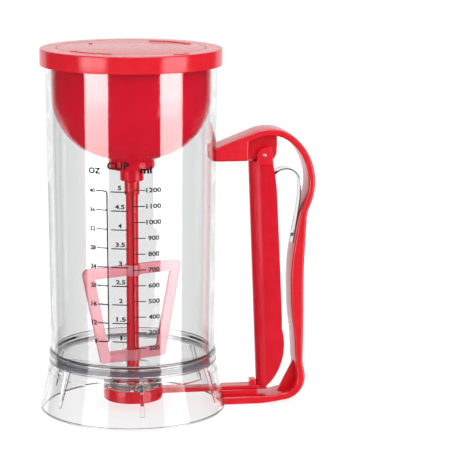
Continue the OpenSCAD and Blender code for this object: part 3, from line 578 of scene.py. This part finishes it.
gate = prism("slider_gate", rounded([
    (-5, -GATE_HALF, 2), (10, -GATE_HALF, 3), (22, -BAR_HALF, 3), (BAR_END, -BAR_HALF, 1.2),
    (BAR_END, BAR_HALF, 1.2), (22, BAR_HALF, 3), (10, GATE_HALF, 3), (-5, GATE_HALF, 2)], 4),
    GATE_Z, GATE_Z + GATE_T, "Z")
cut(gate, rod("cutter", 1.7, GATE_Z - 1, 13, BAR_HOLE_X, 0, 28))
bevel(gate, 0.35, 3)
smooth(gate)
dress(gate, red, "red_plastic", "valve_slider")
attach(gate, "slider")
peg = box("slider_peg", 82.2, 86.3, -4, 4, 11.5, 15.8)
bevel(peg, 0.5, 3)
smooth(peg)
dress(peg, red, "red_plastic")
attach(peg, "slider")

# --------------------------------------------------------------------- lid

MARK_HALF = 0.4                         # raised marks stand this far above the lid, and in it
MARK_Z = (LID_TOP - MARK_HALF, LID_TOP + MARK_HALF)
UNDER, OVER = LID_UNDER - 0.05, LID_UNDER + 0.05    # a hair's breadth off the lid's inner step

lid = lathe("lid_ring", rounded([
    (44.4, 244.6, 0.3), (52.2, 244.6), (52.2, UNDER), (59.8, UNDER, 0.4), (59.8, LID_FOOT, 0.4),
    (LID_R, LID_FOOT, 0.5), (LID_R, LID_TOP, 1.0), (50.9, LID_TOP, 0.35), (50.9, LID_UNDER),
    (44.4, LID_UNDER)], 6), ROUND)
smooth(lid, 40)
dress(lid, red, "red_plastic", "lid_shell")
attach(lid, "head")

# A short raised line on the rim
mark = prism("lid_mark", arc((0, 0), COVER_R + 6.5, -66, -54)
             + arc((0, 0), COVER_R + 5.1, -54, -66), *MARK_Z, "Z")
bevel(mark, 0.16, 2)
smooth(mark)
dress(mark, red, "red_plastic")
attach(mark, "head")

disc = lathe("cover_disc", rounded([
    (0, OVER), (42.1, OVER), (42.1, 241.4, 0.3), (44.1, 241.4, 0.3), (44.1, OVER),
    (COVER_R, OVER, 0.2), (COVER_R, LID_TOP, 0.35), (0, LID_TOP)]), ROUND)
smooth(disc, 40)
dress(disc, red, "red_plastic", "battery_cover")
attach(disc, "cover")


def turn_arrow(r, a0, a1, shaft=0.8, barb=2.6, head=7):
    """A curved arrow's outline, from angle a0 down to a1, where its head starts."""
    return arc((0, 0), r + shaft, a0, a1, 14) + [
        turned(r + barb, 0, a1), turned(r, 0, a1 - head), turned(r - barb, 0, a1)] + \
        arc((0, 0), r - shaft, a1, a0, 14)


for i, (a0, a1) in enumerate(((-112, -152), (68, 28))):
    mark = prism(f"cover_arrow_{i + 1}", turn_arrow(COVER_R - 4.5, a0, a1), *MARK_Z, "Z")
    bevel(mark, 0.16, 2, 30)
    smooth(mark)
    dress(mark, red, "red_plastic")
    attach(mark, "cover")
mark = rod("cover_dot", 1.3, *MARK_Z, *turned(38, 0, 131), 32)
bevel(mark, 0.25, 3, 50)
smooth(mark)
dress(mark, red, "red_plastic")
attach(mark, "cover")

# ----------------------------------------------------------- motor housing

DOME_MID, POWER = LID_UNDER - 25, 2.2   # height of the widest point, power of the curve
DOME_A, DOME_B = 54.5, 49.2             # outer half width and depth under the widest point
DOME_IN_A, DOME_IN_B = 52.3, 47.4
HUB_R, HUB_Z, STEP_R, STEP_Z, BORE_R = 15.9, 167.2, 8.2, 159.2, 2.9


def dome_z(r, a, b):
    """Height of the dome's curve at radius r."""
    return DOME_MID - b * (1 - (r / a) ** POWER) ** (1 / POWER)


def dome_curve(a, b, r0, n):
    """From the rim down to radius r0, with points close together where it turns."""
    out = []
    for i in range(n + 1):
        t = i / n
        r = a - (a - r0) * t * t
        out.append((r, dome_z(min(r, a), a, b)))
    return out


outer = dome_curve(DOME_A, DOME_B, HUB_R, 40)
inner = dome_curve(DOME_IN_A, DOME_IN_B, BORE_R, 40)
hub = rounded([(19.1, dome_z(19.1, DOME_A, DOME_B)), (HUB_R, 174.0, 1.2), (HUB_R, HUB_Z, 2.4),
               (STEP_R, HUB_Z, 0.7), (STEP_R, STEP_Z, 0.8), (BORE_R, STEP_Z, 0.2), (BORE_R, 172.6)])
dome = lathe("dome_shell", [(DOME_A, UNDER)] + [p for p in outer if p[0] > 19.5] + hub
             + [p for p in reversed(inner) if p[1] > 174.3] + [(DOME_IN_A, UNDER)], ROUND)
smooth(dome, 35)
dress(dome, red_gloss, "red_plastic", "motor_housing")
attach(dome, "head")

# ------------------------------------------------------------ shaft, paddle

SHAFT_FOOT, HEAD_Z, HEAD_TOP, HEAD_R, SOCKET_R = 20.5, 149.3, 158.9, 5.2, 2.5

shaft = lathe("mixer_rod", rounded([
    (0, SHAFT_FOOT), (SHAFT_R, SHAFT_FOOT, 1.2), (SHAFT_R, HEAD_Z, 0.5), (HEAD_R, HEAD_Z, 0.5),
    (HEAD_R, HEAD_TOP, 0.7), (SOCKET_R, HEAD_TOP), (SOCKET_R, 149.4), (0, 149.4)]), 64)
smooth(shaft)
dress(shaft, red, "red_plastic", "mixer_shaft")
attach(shaft, "mixer")

PADDLE_BAR, PADDLE_HALF_T, TOP_HALF, FOOT_HALF = 7.4, 1.5, 39.0, 25.0
SLOPE = (TOP_HALF - FOOT_HALF) / (PADDLE_TOP - PADDLE_FOOT)
PADDLE_TURN = 23                        # from the X axis, in degrees


def window_w(z):
    """Half the width of the paddle's window at height z."""
    return FOOT_HALF + (z - PADDLE_FOOT) * SLOPE - PADDLE_BAR


z0, z1 = PADDLE_FOOT + PADDLE_BAR, PADDLE_TOP - PADDLE_BAR
paddle = prism("paddle_frame", rounded([
    (-FOOT_HALF, PADDLE_FOOT, 2), (FOOT_HALF, PADDLE_FOOT, 2), (TOP_HALF, PADDLE_TOP, 4),
    (-TOP_HALF, PADDLE_TOP, 4)], 8), -PADDLE_HALF_T, PADDLE_HALF_T)
cut(paddle, prism("cutter", rounded([
    (-window_w(z0), z0, 0.8), (window_w(z0), z0, 0.8), (window_w(z1), z1, 0.8),
    (-window_w(z1), z1, 0.8)], 4), -3, 3))
combine(paddle, "UNION", rod("collar", SHAFT_R + 1, PADDLE_FOOT + 0.02, z0),
        rod("collar", SHAFT_R + 1, z1, PADDLE_TOP - 0.02))
cut(paddle, rod("cutter", SHAFT_R + 0.02, 30, 110))
bevel(paddle, 0.5, 3)
paddle.data.transform(Matrix.Rotation(radians(PADDLE_TURN), 4, "Z"))
smooth(paddle)
dress(paddle, paddle_red, "paddle_plastic", "paddle")
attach(paddle, "mixer")

# ------------------------------------------------------------------ handle

BEND_C, BEND_R, BEND_A, TURN_A = (93.9, 166.4), 27.7, 111.6, 46.0
BACK_R, BACK_END, NECK_R, BAND_T = 41.2, -24.0, 25.0, 4.5
BACK_C = on_circle(BEND_C, BEND_R - BACK_R, TURN_A)
NECK_C = on_circle(BACK_C, BACK_R + NECK_R, BACK_END)
ROOT_X, ROOT_SLOPE, INNER_SLOPE = 55.0, 0.396, 0.385
BEND_START = on_circle(BEND_C, BEND_R, BEND_A)
INNER_START = on_circle(BEND_C, BEND_R - BAND_T, BEND_A)
ROOT_TOP = BEND_START[1] - (BEND_START[0] - ROOT_X) * ROOT_SLOPE
HEEL_C, HEEL_R, HEEL_INNER_C, HEEL_INNER_R = (103.6, 18.6), 16.3, (103.9, 17.4), 10.2
ARM_X0, ARM_TOP, ARM_BOTTOM = 60.3, 5.7, 0.3
BLOCK_X, BLOCK_Z = 79.2, 172.2
HANDLE_HALF, RAIL_IN, RAIL_OUT = 12, 5.3, 7.5

# Outside, from the jar over the bend and down the back to the lower arm's end
band = [(ROOT_X, ROOT_TOP)]
band += arc(BEND_C, BEND_R, BEND_A, TURN_A, 24)
band += arc(BACK_C, BACK_R, TURN_A - 2.5, BACK_END, 28)
neck = arc(NECK_C, NECK_R, 180 + BACK_END + 3, 180, 8)
band += neck[:-2]
band += spline([neck[-2], (118.4, 96), (118.4, 66), (118.3, 42), (118.2, 30),
                on_circle(HEEL_C, HEEL_R, 8)], 6)
band += arc(HEEL_C, HEEL_R, 5, -80, 22)
band += spline([on_circle(HEEL_C, HEEL_R, -82), (95, 0.9), (88, ARM_BOTTOM), (80, ARM_BOTTOM)], 5)
# Inside, back from the arm's end to the block at the jar
band += [(ARM_X0, ARM_BOTTOM), (ARM_X0, ARM_TOP)]
band += spline([(90, ARM_TOP), (96, ARM_TOP), (100.2, 6.2), (103.9, 7.2)], 4)
band += arc(HEEL_INNER_C, HEEL_INNER_R, -84, -4, 14)
band += spline([(114.1, 17.4), (114.0, 23), (113.1, 31), (112.2, 48), (110, 68), (109.8, 98),
                (114.2, 128), (117.2, 139)], 6)
band += arc(BACK_C, BACK_R - BAND_T, BACK_END + 2.5, TURN_A, 26)
band += arc(BEND_C, BEND_R - BAND_T, TURN_A + 2.5, BEND_A, 20)
band += [(BLOCK_X, INNER_START[1] - (INNER_START[0] - BLOCK_X) * INNER_SLOPE), (BLOCK_X, BLOCK_Z),
         (ROOT_X, BLOCK_Z)]


def trim(ob, radius, low, high):
    """Takes away what the jar or the skirt stands in, a hair's breadth clear of them."""
    near, far = radius(low) + 0.1, radius(high) + 0.1
    cut(ob, lathe("cutter", [(0, low), (near, low), (far, high), (0, high)], ROUND))


def bar_slot(x0):
    """Room for the gate's bar."""
    return box("cutter", x0, 103, -BAR_HALF - 0.6, BAR_HALF + 0.6, GATE_Z - 0.1,
               GATE_Z + GATE_T + 0.3)


handle = prism("handle_shell", band, -HANDLE_HALF, HANDLE_HALF)
bevel(handle, 1.7, 5, 50)
trim(handle, jar_r, 165, 200)
trim(handle, skirt_r, -3, 20)
cut(handle, bar_slot(58))
smooth(handle, 40)
dress(handle, red, "red_plastic", "handle")
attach(handle, "base")

# The web under the bend, with the boss that holds the pin
bracket = prism("handle_bracket", rounded([
    (77, 171.9), (98.0, 171.9, 1.4), (99.9, 175.8, 1.5), (100.3, 182, 2), (100.0, 190.4),
    (77, 187.5)], 4), -3, 3)
bevel(bracket, 0.6, 3, 40)
boss = cross_rod("boss", 3.4, PIN_X, PIN_Z, 7.5)
bevel(boss, 0.4, 3)
combine(bracket, "UNION", boss)
cut(bracket, cross_rod("cutter", PIN_R, PIN_X, PIN_Z, 9))
smooth(bracket)
dress(bracket, red, "red_plastic")
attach(bracket, "base")

# The gusset inside the heel
heel = prism("handle_heel", [(101, 5.2), (113.2, 28.6), (115, 30), (117, 16), (113, 8),
                             (106, 4.2)], -1.5, 1.5)
bevel(heel, 0.5, 3, 30)
cut(heel, bar_slot(90))
smooth(heel)
dress(heel, red, "red_plastic")
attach(heel, "base")

for name, y0, y1 in (("near", -RAIL_OUT, -RAIL_IN), ("far", RAIL_IN, RAIL_OUT)):
    rail = box(f"handle_rail_{name}", ARM_X0, 87, y0, y1, ARM_TOP - 1, 9.7)
    bevel(rail, 0.7, 4)
    trim(rail, skirt_r, -3, 20)
    smooth(rail)
    dress(rail, red, "red_plastic")
    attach(rail, "base")

# ----------------------------------------------------------------- trigger

FINGER_FOOT, FINGER_TOP = (86.8, 12.4), (80.8, 165.0)
LEAN = atan((FINGER_FOOT[0] - FINGER_TOP[0]) / (FINGER_TOP[1] - FINGER_FOOT[1]))
LEVER_HALF, CHANNEL_HALF, EAR_HALF, EAR_FOOT, PIN_HALF = 9.75, 7.9, 10, 169.2, 10.2


def column(off, half, depth, z0, z1):
    """The leaning cutter, half an ellipse in plan, that rounds the lever's finger side."""
    plan = [(off + depth * (1 - cos(radians(t))), half * sin(radians(t)))
            for t in range(90, -91, -5)]
    plan += [(off + 62, -half), (off + 62, half)]
    ob = prism("cutter", plan, z0, z1, "Z")
    foot = Matrix.Translation(Vector(mm(FINGER_FOOT[0], 0, FINGER_FOOT[1])))
    ob.data.transform(foot @ Matrix.Rotation(-LEAN, 4, "Y"))
    return ob


profile = [(81.8, 10.6), (76.8, 165), (76.8, 171.2), (88, 171.2), (96.2, 171.2), (96.6, 168.5)]
profile += spline([(97.6, 164), (98.6, 156), (99.3, 148), (101.5, 104), (103.4, 62)], 5)
profile += arc((62.4, 41.7), 42.7, 16, -46.5, 23)
trigger = prism("trigger_lever", profile, -LEVER_HALF, LEVER_HALF)
combine(trigger, "INTERSECT", column(0, LEVER_HALF, 15, -20, 220))
ears = prism("trigger_ears", rounded([
    (85.5, EAR_FOOT, 1), (85.5, 177.5, 1.6), (88, 180.4, 1.5), (95.4, 182.4, 1.5),
    (96.5, 170.4, 0.8), (96.7, EAR_FOOT)], 4), -EAR_HALF, EAR_HALF)
cut(ears, box("cutter", 80, 100, -CHANNEL_HALF, CHANNEL_HALF, 165, 190))
# The channel that opens towards the grip, and the lever's top between the ears
cut(trigger, column(2.8, CHANNEL_HALF, 12.2, 11.6, 220),
    box("cutter", 80.8, 102.4, -CHANNEL_HALF, CHANNEL_HALF, 172.2, 188))
# A fine groove under each ear
for y0, y1 in ((-10.2, -9.3), (9.3, 10.2)):
    cut(trigger, box("cutter", 84.6, 98.5, y0, y1, EAR_FOOT - 0.8, EAR_FOOT - 0.1))
# The foot straddles the gate's bar
cut(trigger, box("cutter", 78, 110, -BAR_HALF - 0.5, BAR_HALF + 0.5, 5, 12.4))
bevel(trigger, 0.45, 3, 40)
bevel(ears, 0.35, 3, 40)
for ob in (trigger, ears):
    cut(ob, cross_rod("cutter", PIN_R + 0.06, PIN_X, PIN_Z, 12))
    smooth(ob)
dress(trigger, trigger_red, "red_plastic", "trigger")
dress(ears, red, "red_plastic")
nose = rod("trigger_nose", 1.5, 9.3, 14.4, BAR_HOLE_X, 0, 28)
bevel(nose, 0.3, 3)
smooth(nose)
dress(nose, red, "red_plastic")
for ob in (trigger, ears, nose):
    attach(ob, "trigger")

pin = lathe("pin_rod", rounded([
    (0, -PIN_HALF), (PIN_R, -PIN_HALF, 0.4), (PIN_R, PIN_HALF, 0.4), (0, PIN_HALF)]), 40)
pin.data.transform(Matrix.Translation(Vector(mm(PIN_X, 0, PIN_Z)))
                   @ Matrix.Rotation(pi / 2, 4, "X"))
smooth(pin)
dress(pin, pin_steel, "steel", "hinge_pin")
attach(pin, "base")

# ------------------------------------------------------------- leaf spring

SPRING_HALF_T, SPRING_HALF_W = 0.4, 5.5

path = spline([(89.2, 134.2), (89.45, 132.2), (90.3, 132.5)] + arc((106.2, 155.5), 10, 160, 0, 9)
              + [(116.2, 145), (113.5, 127), (111.3, 113)], 5)
strip = []
for i, p in enumerate(path):
    a, b = Vector(path[max(i - 1, 0)]), Vector(path[min(i + 1, len(path) - 1)])
    d = (b - a).normalized() * SPRING_HALF_T
    strip.append((p[0] - d.y, p[1] + d.x, p[0] + d.y, p[1] - d.x))
n = len(strip)
verts, faces = [], []
for q in strip:
    for y in (-SPRING_HALF_W, SPRING_HALF_W):
        verts += [(q[0], y, q[1]), (q[2], y, q[3])]
for i in range(n - 1):
    a, b = 4 * i, 4 * (i + 1)
    faces += [(a, a + 2, b + 2, b), (a + 1, b + 1, b + 3, a + 3), (a, b, b + 1, a + 1),
              (a + 2, a + 3, b + 3, b + 2)]
faces += [(0, 1, 3, 2), (4 * n - 4, 4 * n - 2, 4 * n - 1, 4 * n - 3)]
spring = solid("leaf_strip", verts, faces)
bevel(spring, 0.12, 2, 60)
smooth(spring, 40)
dress(spring, bright, "spring_steel", "leaf_spring")
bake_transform(spring)

# ----------------------------------------------------------- printed scale

DEG = degrees(1 / 57.2)             # degrees round the jar to a millimetre of print
ROW = -5.9                          # from the camera's side of the jar to the row's -Y
PRINT_TOP, SKEW = 161.5, 0.004      # the print runs a touch askew down the jar
INK_GAP, INK = 0.03, 0.05           # off the wall, and thick
HOOK = 2.0                          # radius of the hooked ends of a scale's upright


def wrapped(parts, name):
    """Bends flat print, shapes in degrees and millimetres, round the jar just off its wall."""
    verts, faces = [], []
    for v, f in parts:
        base = len(verts)
        verts += v
        faces += [[base + i for i in face] for face in f]
    out = []
    for a, z, lift in verts:
        r = jar_r(z) + INK_GAP + lift
        a += ROW + (PRINT_TOP - z) * SKEW
        out.append((r * sin(radians(a)), -r * cos(radians(a)), z))
    return solid(name, out, faces)


def stroke(points, width):
    """A printed line through (angle, height) points, in degrees and millimetres."""
    p = [Vector((a / DEG, z)) for a, z in points]
    verts, faces = [], []
    for i, q in enumerate(p):
        a, b = p[max(i - 1, 0)], p[min(i + 1, len(p) - 1)]
        d = (b - a).normalized() * width / 2
        for s in (1, -1):
            w = q + Vector((-d.y, d.x)) * s
            verts += [(w.x * DEG, w.y, 0), (w.x * DEG, w.y, INK)]
    for i in range(len(p) - 1):
        a, b = 4 * i, 4 * (i + 1)
        faces += [(a, a + 1, b + 1, b), (a + 2, b + 2, b + 3, a + 3), (a, b, b + 2, a + 2),
                  (a + 1, a + 3, b + 3, b + 1)]
    end = 4 * len(p) - 4
    faces += [(0, 2, 3, 1), (end, end + 1, end + 3, end + 2)]
    return verts, faces


def text(word, angle, z, height, width, weight, align="CENTER"):
    """A word set with its middle line at height z, starting, ending or centred at angle.

    The weight thickens its strokes, as a share of the letter size.
    """
    curve = bpy.data.curves.new("word", "FONT")
    curve.body = word
    curve.size = 1.0
    curve.offset = weight
    curve.extrude = 0.008
    curve.resolution_u = 3
    ob = link("word", curve)
    bpy.context.view_layer.update()
    mesh = bpy.data.meshes.new_from_object(ob.evaluated_get(bpy.context.evaluated_depsgraph_get()))
    bpy.data.objects.remove(ob)
    bpy.data.curves.remove(curve)
    xs = [v.co.x for v in mesh.vertices]
    ys = [v.co.y for v in mesh.vertices]
    sx, sy = width / (max(xs) - min(xs)), height / (max(ys) - min(ys))
    left, middle = min(xs), (max(ys) + min(ys)) / 2
    start = {"LEFT": 0.0, "CENTER": -width / 2, "RIGHT": -width}[align]
    verts = [(angle + ((v.co.x - left) * sx + start) * DEG, z + (v.co.y - middle) * sy,
              0.0 if v.co.z < 0 else INK) for v in mesh.vertices]
    faces = [list(f.vertices) for f in mesh.polygons]
    bpy.data.meshes.remove(mesh)
    return verts, faces


def rail_line(line, tick, top, low, width):
    """A scale's upright, with a hooked end towards the ticks at the top and the bottom."""
    way = 1 if tick > line else -1
    centre = line + way * HOOK * DEG
    turns = [radians(t) for t in range(0, 91, 15)]
    upper = [(centre - way * HOOK * DEG * sin(t), top - HOOK + HOOK * cos(t)) for t in turns]
    run = [(line, top - HOOK + (low + 2 * HOOK - top) * k / 8) for k in range(1, 8)]
    lower = [(centre - way * HOOK * DEG * cos(t), low + HOOK - HOOK * sin(t)) for t in turns]
    return stroke([(tick, top)] + upper + run + lower + [(tick, low)], width)


parts = []
OZ_LINE, OZ_TICK, OZ_TEXT, OZ_TOP, OZ_LOW = -16.65, -24.1, -25.0, 161.1, 58.85
parts.append(rail_line(OZ_LINE, OZ_TICK, OZ_TOP, OZ_LOW, 0.85))
for i in range(9):
    z = OZ_TOP + (OZ_LOW - OZ_TOP) * i / 8
    if 0 < i < 8:
        parts.append(stroke([(OZ_TICK, z), (OZ_LINE, z)], 0.8))
    word = str(40 - 4 * i)
    parts.append(text(word, OZ_TEXT, z, 3.1, 2.2 * len(word) - 0.3, 0.04, "RIGHT"))

CUP_A, CUP_B, CUP_TEXT, CUP_TOP, CUP_LOW = -14.1, -2.8, -8.1, 160.65, 59.1
for i in range(9):
    z = CUP_TOP + (CUP_LOW - CUP_TOP) * i / 8
    parts.append(stroke([(CUP_A + (CUP_B - CUP_A) * k / 6, z) for k in range(7)], 0.72))
    word = f"{5 - 0.5 * i:g}"
    width = 6.4 if len(word) > 1 else 1.3 if word == "1" else 2.4
    parts.append(text(word, CUP_TEXT, z + 2.8, 3.1, width, 0.035))

ML_LINE, ML_TICK, ML_TEXT, ML_TOP, ML_LOW = 0.55, 8.75, 9.3, 161.8, 54.75
parts.append(rail_line(ML_LINE, ML_TICK, ML_TOP, ML_LOW, 0.55))
for i in range(11):
    z = ML_TOP + (ML_LOW - ML_TOP) * i / 10
    if 0 < i < 10:
        parts.append(stroke([(ML_LINE, z), ((ML_LINE + ML_TICK) / 2, z), (ML_TICK, z)], 0.62))
    word = str(1200 - 100 * i)
    start = ML_TEXT + (0 if len(word) == 4 else 1.15)
    parts.append(text(word, start, z, 3.2, 2.65 * len(word) - 0.3, 0.028, "LEFT"))

parts.append(text("OZ", -25.1, 174.4, 4.1, 8.6, 0.045))
parts.append(text("CUP", -9.0, 178.0, 5.1, 14.7, 0.035))
parts.append(text("ml", 9.3, 175.3, 4.8, 7.9, 0.04))
scale = wrapped(parts, "printed_scale")
dress(scale, ink, "clear_plastic")
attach(scale, "base")

# The end of a second scale, seen along the jar's side
EDGE, EDGE_W = -78.0, 0.42
second = wrapped([
    stroke([(EDGE, 60 + 100 * k / 8) for k in range(9)], EDGE_W),
    stroke([(EDGE, 60), (EDGE + 1, 58.6), (EDGE + 3, 58), (EDGE + 5, 58)], EDGE_W)], "printed_edge")
dress(second, ink, "clear_plastic")
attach(second, "base")

# -------------------------------------------------- the CAD nodes that stay

stay = {
    silicone: ("valve_seal", "lid_gasket"),
    rubber: ("cover_seal", "shaft_seal"),
    steel: ("valve_screws", "handle_screws", "spring_screw", "housing_screws", "plate_screws",
            "motor_shaft", "output_shaft"),
    bright: ("tray_contacts", "cover_contacts", "switch_contacts"),
    white: ("battery_tray", "gear_plate", "drive_gear"),
    cell_jacket: ("batteries",),
    can: ("motor",),
    brass: ("motor_pinion", "shaft_bush"),
    wire: ("motor_leads",),
}
for material, names in stay.items():
    for name in names:
        ob = nodes[name]
        if not ob.material_slots:
            ob.data.materials.append(material)
        for s in ob.material_slots:
            s.material = material

# ------------------------------------------------------ floor, light, camera

FRONT = radians(5.9)            # the camera's side of the jar, from -Y towards -X


def around(azimuth, distance, z):
    """A point at an azimuth from the camera's side of the jar, positive to the camera's right."""
    a = radians(azimuth) - FRONT
    return Vector((distance * sin(a), -distance * cos(a), z))


FLOOR_HALF, FLOOR_DROP, FLOOR_GLOW = 2500, 0.0002, 0.82

floor = solid("floor", [(-FLOOR_HALF, -FLOOR_HALF, 0), (FLOOR_HALF, -FLOOR_HALF, 0),
                        (FLOOR_HALF, FLOOR_HALF, 0), (-FLOOR_HALF, FLOOR_HALF, 0)], [(0, 1, 2, 3)])
floor.location.z = -FLOOR_DROP
g = Graph("floor_white")
tone = g.blend(g.noise(9.0, 2.0), rgba(0.3, 0.3, 0.3), rgba(0.32, 0.32, 0.32))
paper = g.add("ShaderNodeBsdfDiffuse", Color=tone)
glow = g.add("ShaderNodeEmission", Strength=FLOOR_GLOW)
both = g.add("ShaderNodeAddShader")
g.put(both.inputs[0], paper)
g.put(both.inputs[1], glow)
# Rays that were mirrored inside the clear parts pass it by, as glossy rays do
deep = g.math("GREATER_THAN", g.add("ShaderNodeLightPath").outputs["Glossy Depth"], 0.5)
floor.data.materials.append(g.end(g.shader_mix(deep, both, g.see_through(1.0, 1.0, 1.0))))
floor.visible_glossy = False
floor.visible_shadow = False

world = bpy.data.worlds.new("studio")
scene.world = world
world.use_nodes = True
tree = world.node_tree
tree.nodes.clear()


def wnode(kind, *values, operation=None):
    """Adds a world node, its inputs linked or set in their order."""
    node = tree.nodes.new(kind)
    if operation:
        node.operation = operation
    for i, v in enumerate(values):
        if isinstance(v, bpy.types.NodeSocket):
            tree.links.new(v, node.inputs[i])
        elif v is not None:
            node.inputs[i].default_value = v
    return node


def wmath(operation, a, b=None):
    return wnode("ShaderNodeMath", a, b, operation=operation).outputs[0]


def wtimes(a, *others):
    """The product of all of them."""
    for b in others:
        a = wmath("MULTIPLY", a, b)
    return a


def wstep(value, lo, hi):
    """0 before lo and 1 beyond hi, with a soft edge."""
    node = wnode("ShaderNodeMapRange", value, lo, hi, 0.0, 1.0)
    node.interpolation_type = "SMOOTHSTEP"
    return node.outputs[0]


def wramp(value, lo, hi, out_lo, out_hi):
    return wnode("ShaderNodeMapRange", value, lo, hi, out_lo, out_hi).outputs[0]


def wpick(choice, no, yes):
    """no where choice is 0, and yes where it is 1."""
    return wmath("ADD", wtimes(wmath("SUBTRACT", 1.0, choice), no), wtimes(choice, yes))


def wlevel(x, y):
    """How far the ray points along a level direction."""
    dot = wnode("ShaderNodeVectorMath", direction, (x, y, 0.0), operation="DOT_PRODUCT")
    return dot.outputs["Value"]


# What mirrored rays see: brightness by azimuth, in degrees from the camera's side of the jar, and
# by up, the height of the ray's direction. Every pair is where a soft edge starts and ends.
DARK_SIDE = 0.05                                    # the front, behind the camera
SCREEN, SCREEN_FOOT, CEILING = (129, 137), (-0.5, -0.4), (0.62, 0.8)
PANEL, PANEL_LEVEL = (0.87, 0.94), 4.5              # a bright panel straight overhead
# From and to azimuth, brightness, and the share of it that is left low down
STRIPS = ((-65.6, -31.9, 6.3, 0.27), (39.6, 72.5, 6.4, 0.6))
STRIP_EDGE, STRIP_FALL = 0.5, (-0.235, -0.14)
STRIP_FOOT, STRIP_HEAD = (-0.55, -0.45), (0.75, 0.65)
# The strips are weaker above, so that a level lid seen from behind isn't washed out
UPPER, UPPER_SHARE = (0.02, 0.1), 0.2
# What dull surfaces see
DIFFUSE_LEVEL = 0.66

direction = wnode("ShaderNodeTexCoord").outputs["Generated"]
back = wlevel(sin(FRONT), cos(FRONT))
up = wnode("ShaderNodeSeparateXYZ", direction).outputs["Z"]
side = wlevel(cos(FRONT), -sin(FRONT))
azimuth = wmath("ARCTAN2", side, wmath("MULTIPLY", back, -1.0))
turned_away = wstep(wmath("ABSOLUTE", azimuth), *map(radians, SCREEN))
screen = wmath("MAXIMUM", wtimes(turned_away, wstep(up, *SCREEN_FOOT)), wstep(up, *CEILING))
gloss_level = wmath("ADD", wtimes(screen, 1.0 - DARK_SIDE), DARK_SIDE)
reach = wtimes(wstep(up, *STRIP_FOOT), wstep(up, *STRIP_HEAD),
               wramp(up, *UPPER, 1.0, UPPER_SHARE))
for start, end, strength, low in STRIPS:
    strip = wtimes(wstep(azimuth, radians(start - STRIP_EDGE), radians(start + STRIP_EDGE)),
                   wstep(azimuth, radians(end + STRIP_EDGE), radians(end - STRIP_EDGE)))
    fall = wramp(up, *STRIP_FALL, strength * low, strength)
    gloss_level = wmath("ADD", gloss_level, wtimes(strip, reach, fall))
gloss_level = wmath("ADD", gloss_level, wtimes(wstep(up, *PANEL), PANEL_LEVEL))

# Rays from the camera, also through clear parts, see plain white; mirrored ones see the strips
ray = wnode("ShaderNodeLightPath").outputs
unreflected = wmath("LESS_THAN", ray["Glossy Depth"], 0.5)
passing = ray["Is Transmission Ray"]
see = wmath("MAXIMUM", ray["Is Camera Ray"], wtimes(passing, unreflected))
mirrored = wmath("MAXIMUM", ray["Is Glossy Ray"],
                 wtimes(passing, wmath("SUBTRACT", 1.0, unreflected)))
level = wpick(see, wpick(mirrored, DIFFUSE_LEVEL, gloss_level), 1.0)
background = wnode("ShaderNodeBackground", rgba(1.0, 1.0, 1.0), level)
output = tree.nodes.new("ShaderNodeOutputWorld")
tree.links.new(background.outputs[0], output.inputs[0])

# A broad soft key from the front right and above, for dull surfaces only
KEY_AT, KEY_AIM, KEY_SIDE, KEY_LEVEL = around(32.0, 1.6, 1.1), Vector((0, 0, 0.12)), 1.0, 0.95
light = bpy.data.lights.new("key", "AREA")
light.shape = "RECTANGLE"
light.size, light.size_y = KEY_SIDE, KEY_SIDE
light.energy = KEY_LEVEL * (KEY_AT - KEY_AIM).length ** 2 * pi * KEY_SIDE ** 2
key = link("key", light)
key.location = KEY_AT
key.rotation_euler = (KEY_AIM - KEY_AT).to_track_quat("-Z", "Y").to_euler()
key.visible_camera = False
key.visible_transmission = False
key.visible_glossy = False

CAMERA_AT, SENSOR_W, LENS = Vector((-0.1405, -1.3598, 0.3902)), 36.0, 154.96
YAW, PITCH, ROLL = radians(8.864), radians(11.153), radians(0.233)

camera_data = bpy.data.cameras.new("camera")
camera_data.sensor_width = SENSOR_W
camera_data.lens = LENS
camera = link("camera", camera_data)
forward = Vector((sin(YAW) * cos(PITCH), cos(YAW) * cos(PITCH), -sin(PITCH)))
right = Vector((cos(YAW), -sin(YAW), 0))
above = right.cross(forward)
right, above = cos(ROLL) * right + sin(ROLL) * above, -sin(ROLL) * right + cos(ROLL) * above
axes = Matrix((right, above, -forward)).transposed().to_4x4()
camera.matrix_world = Matrix.Translation(CAMERA_AT) @ axes
scene.camera = camera
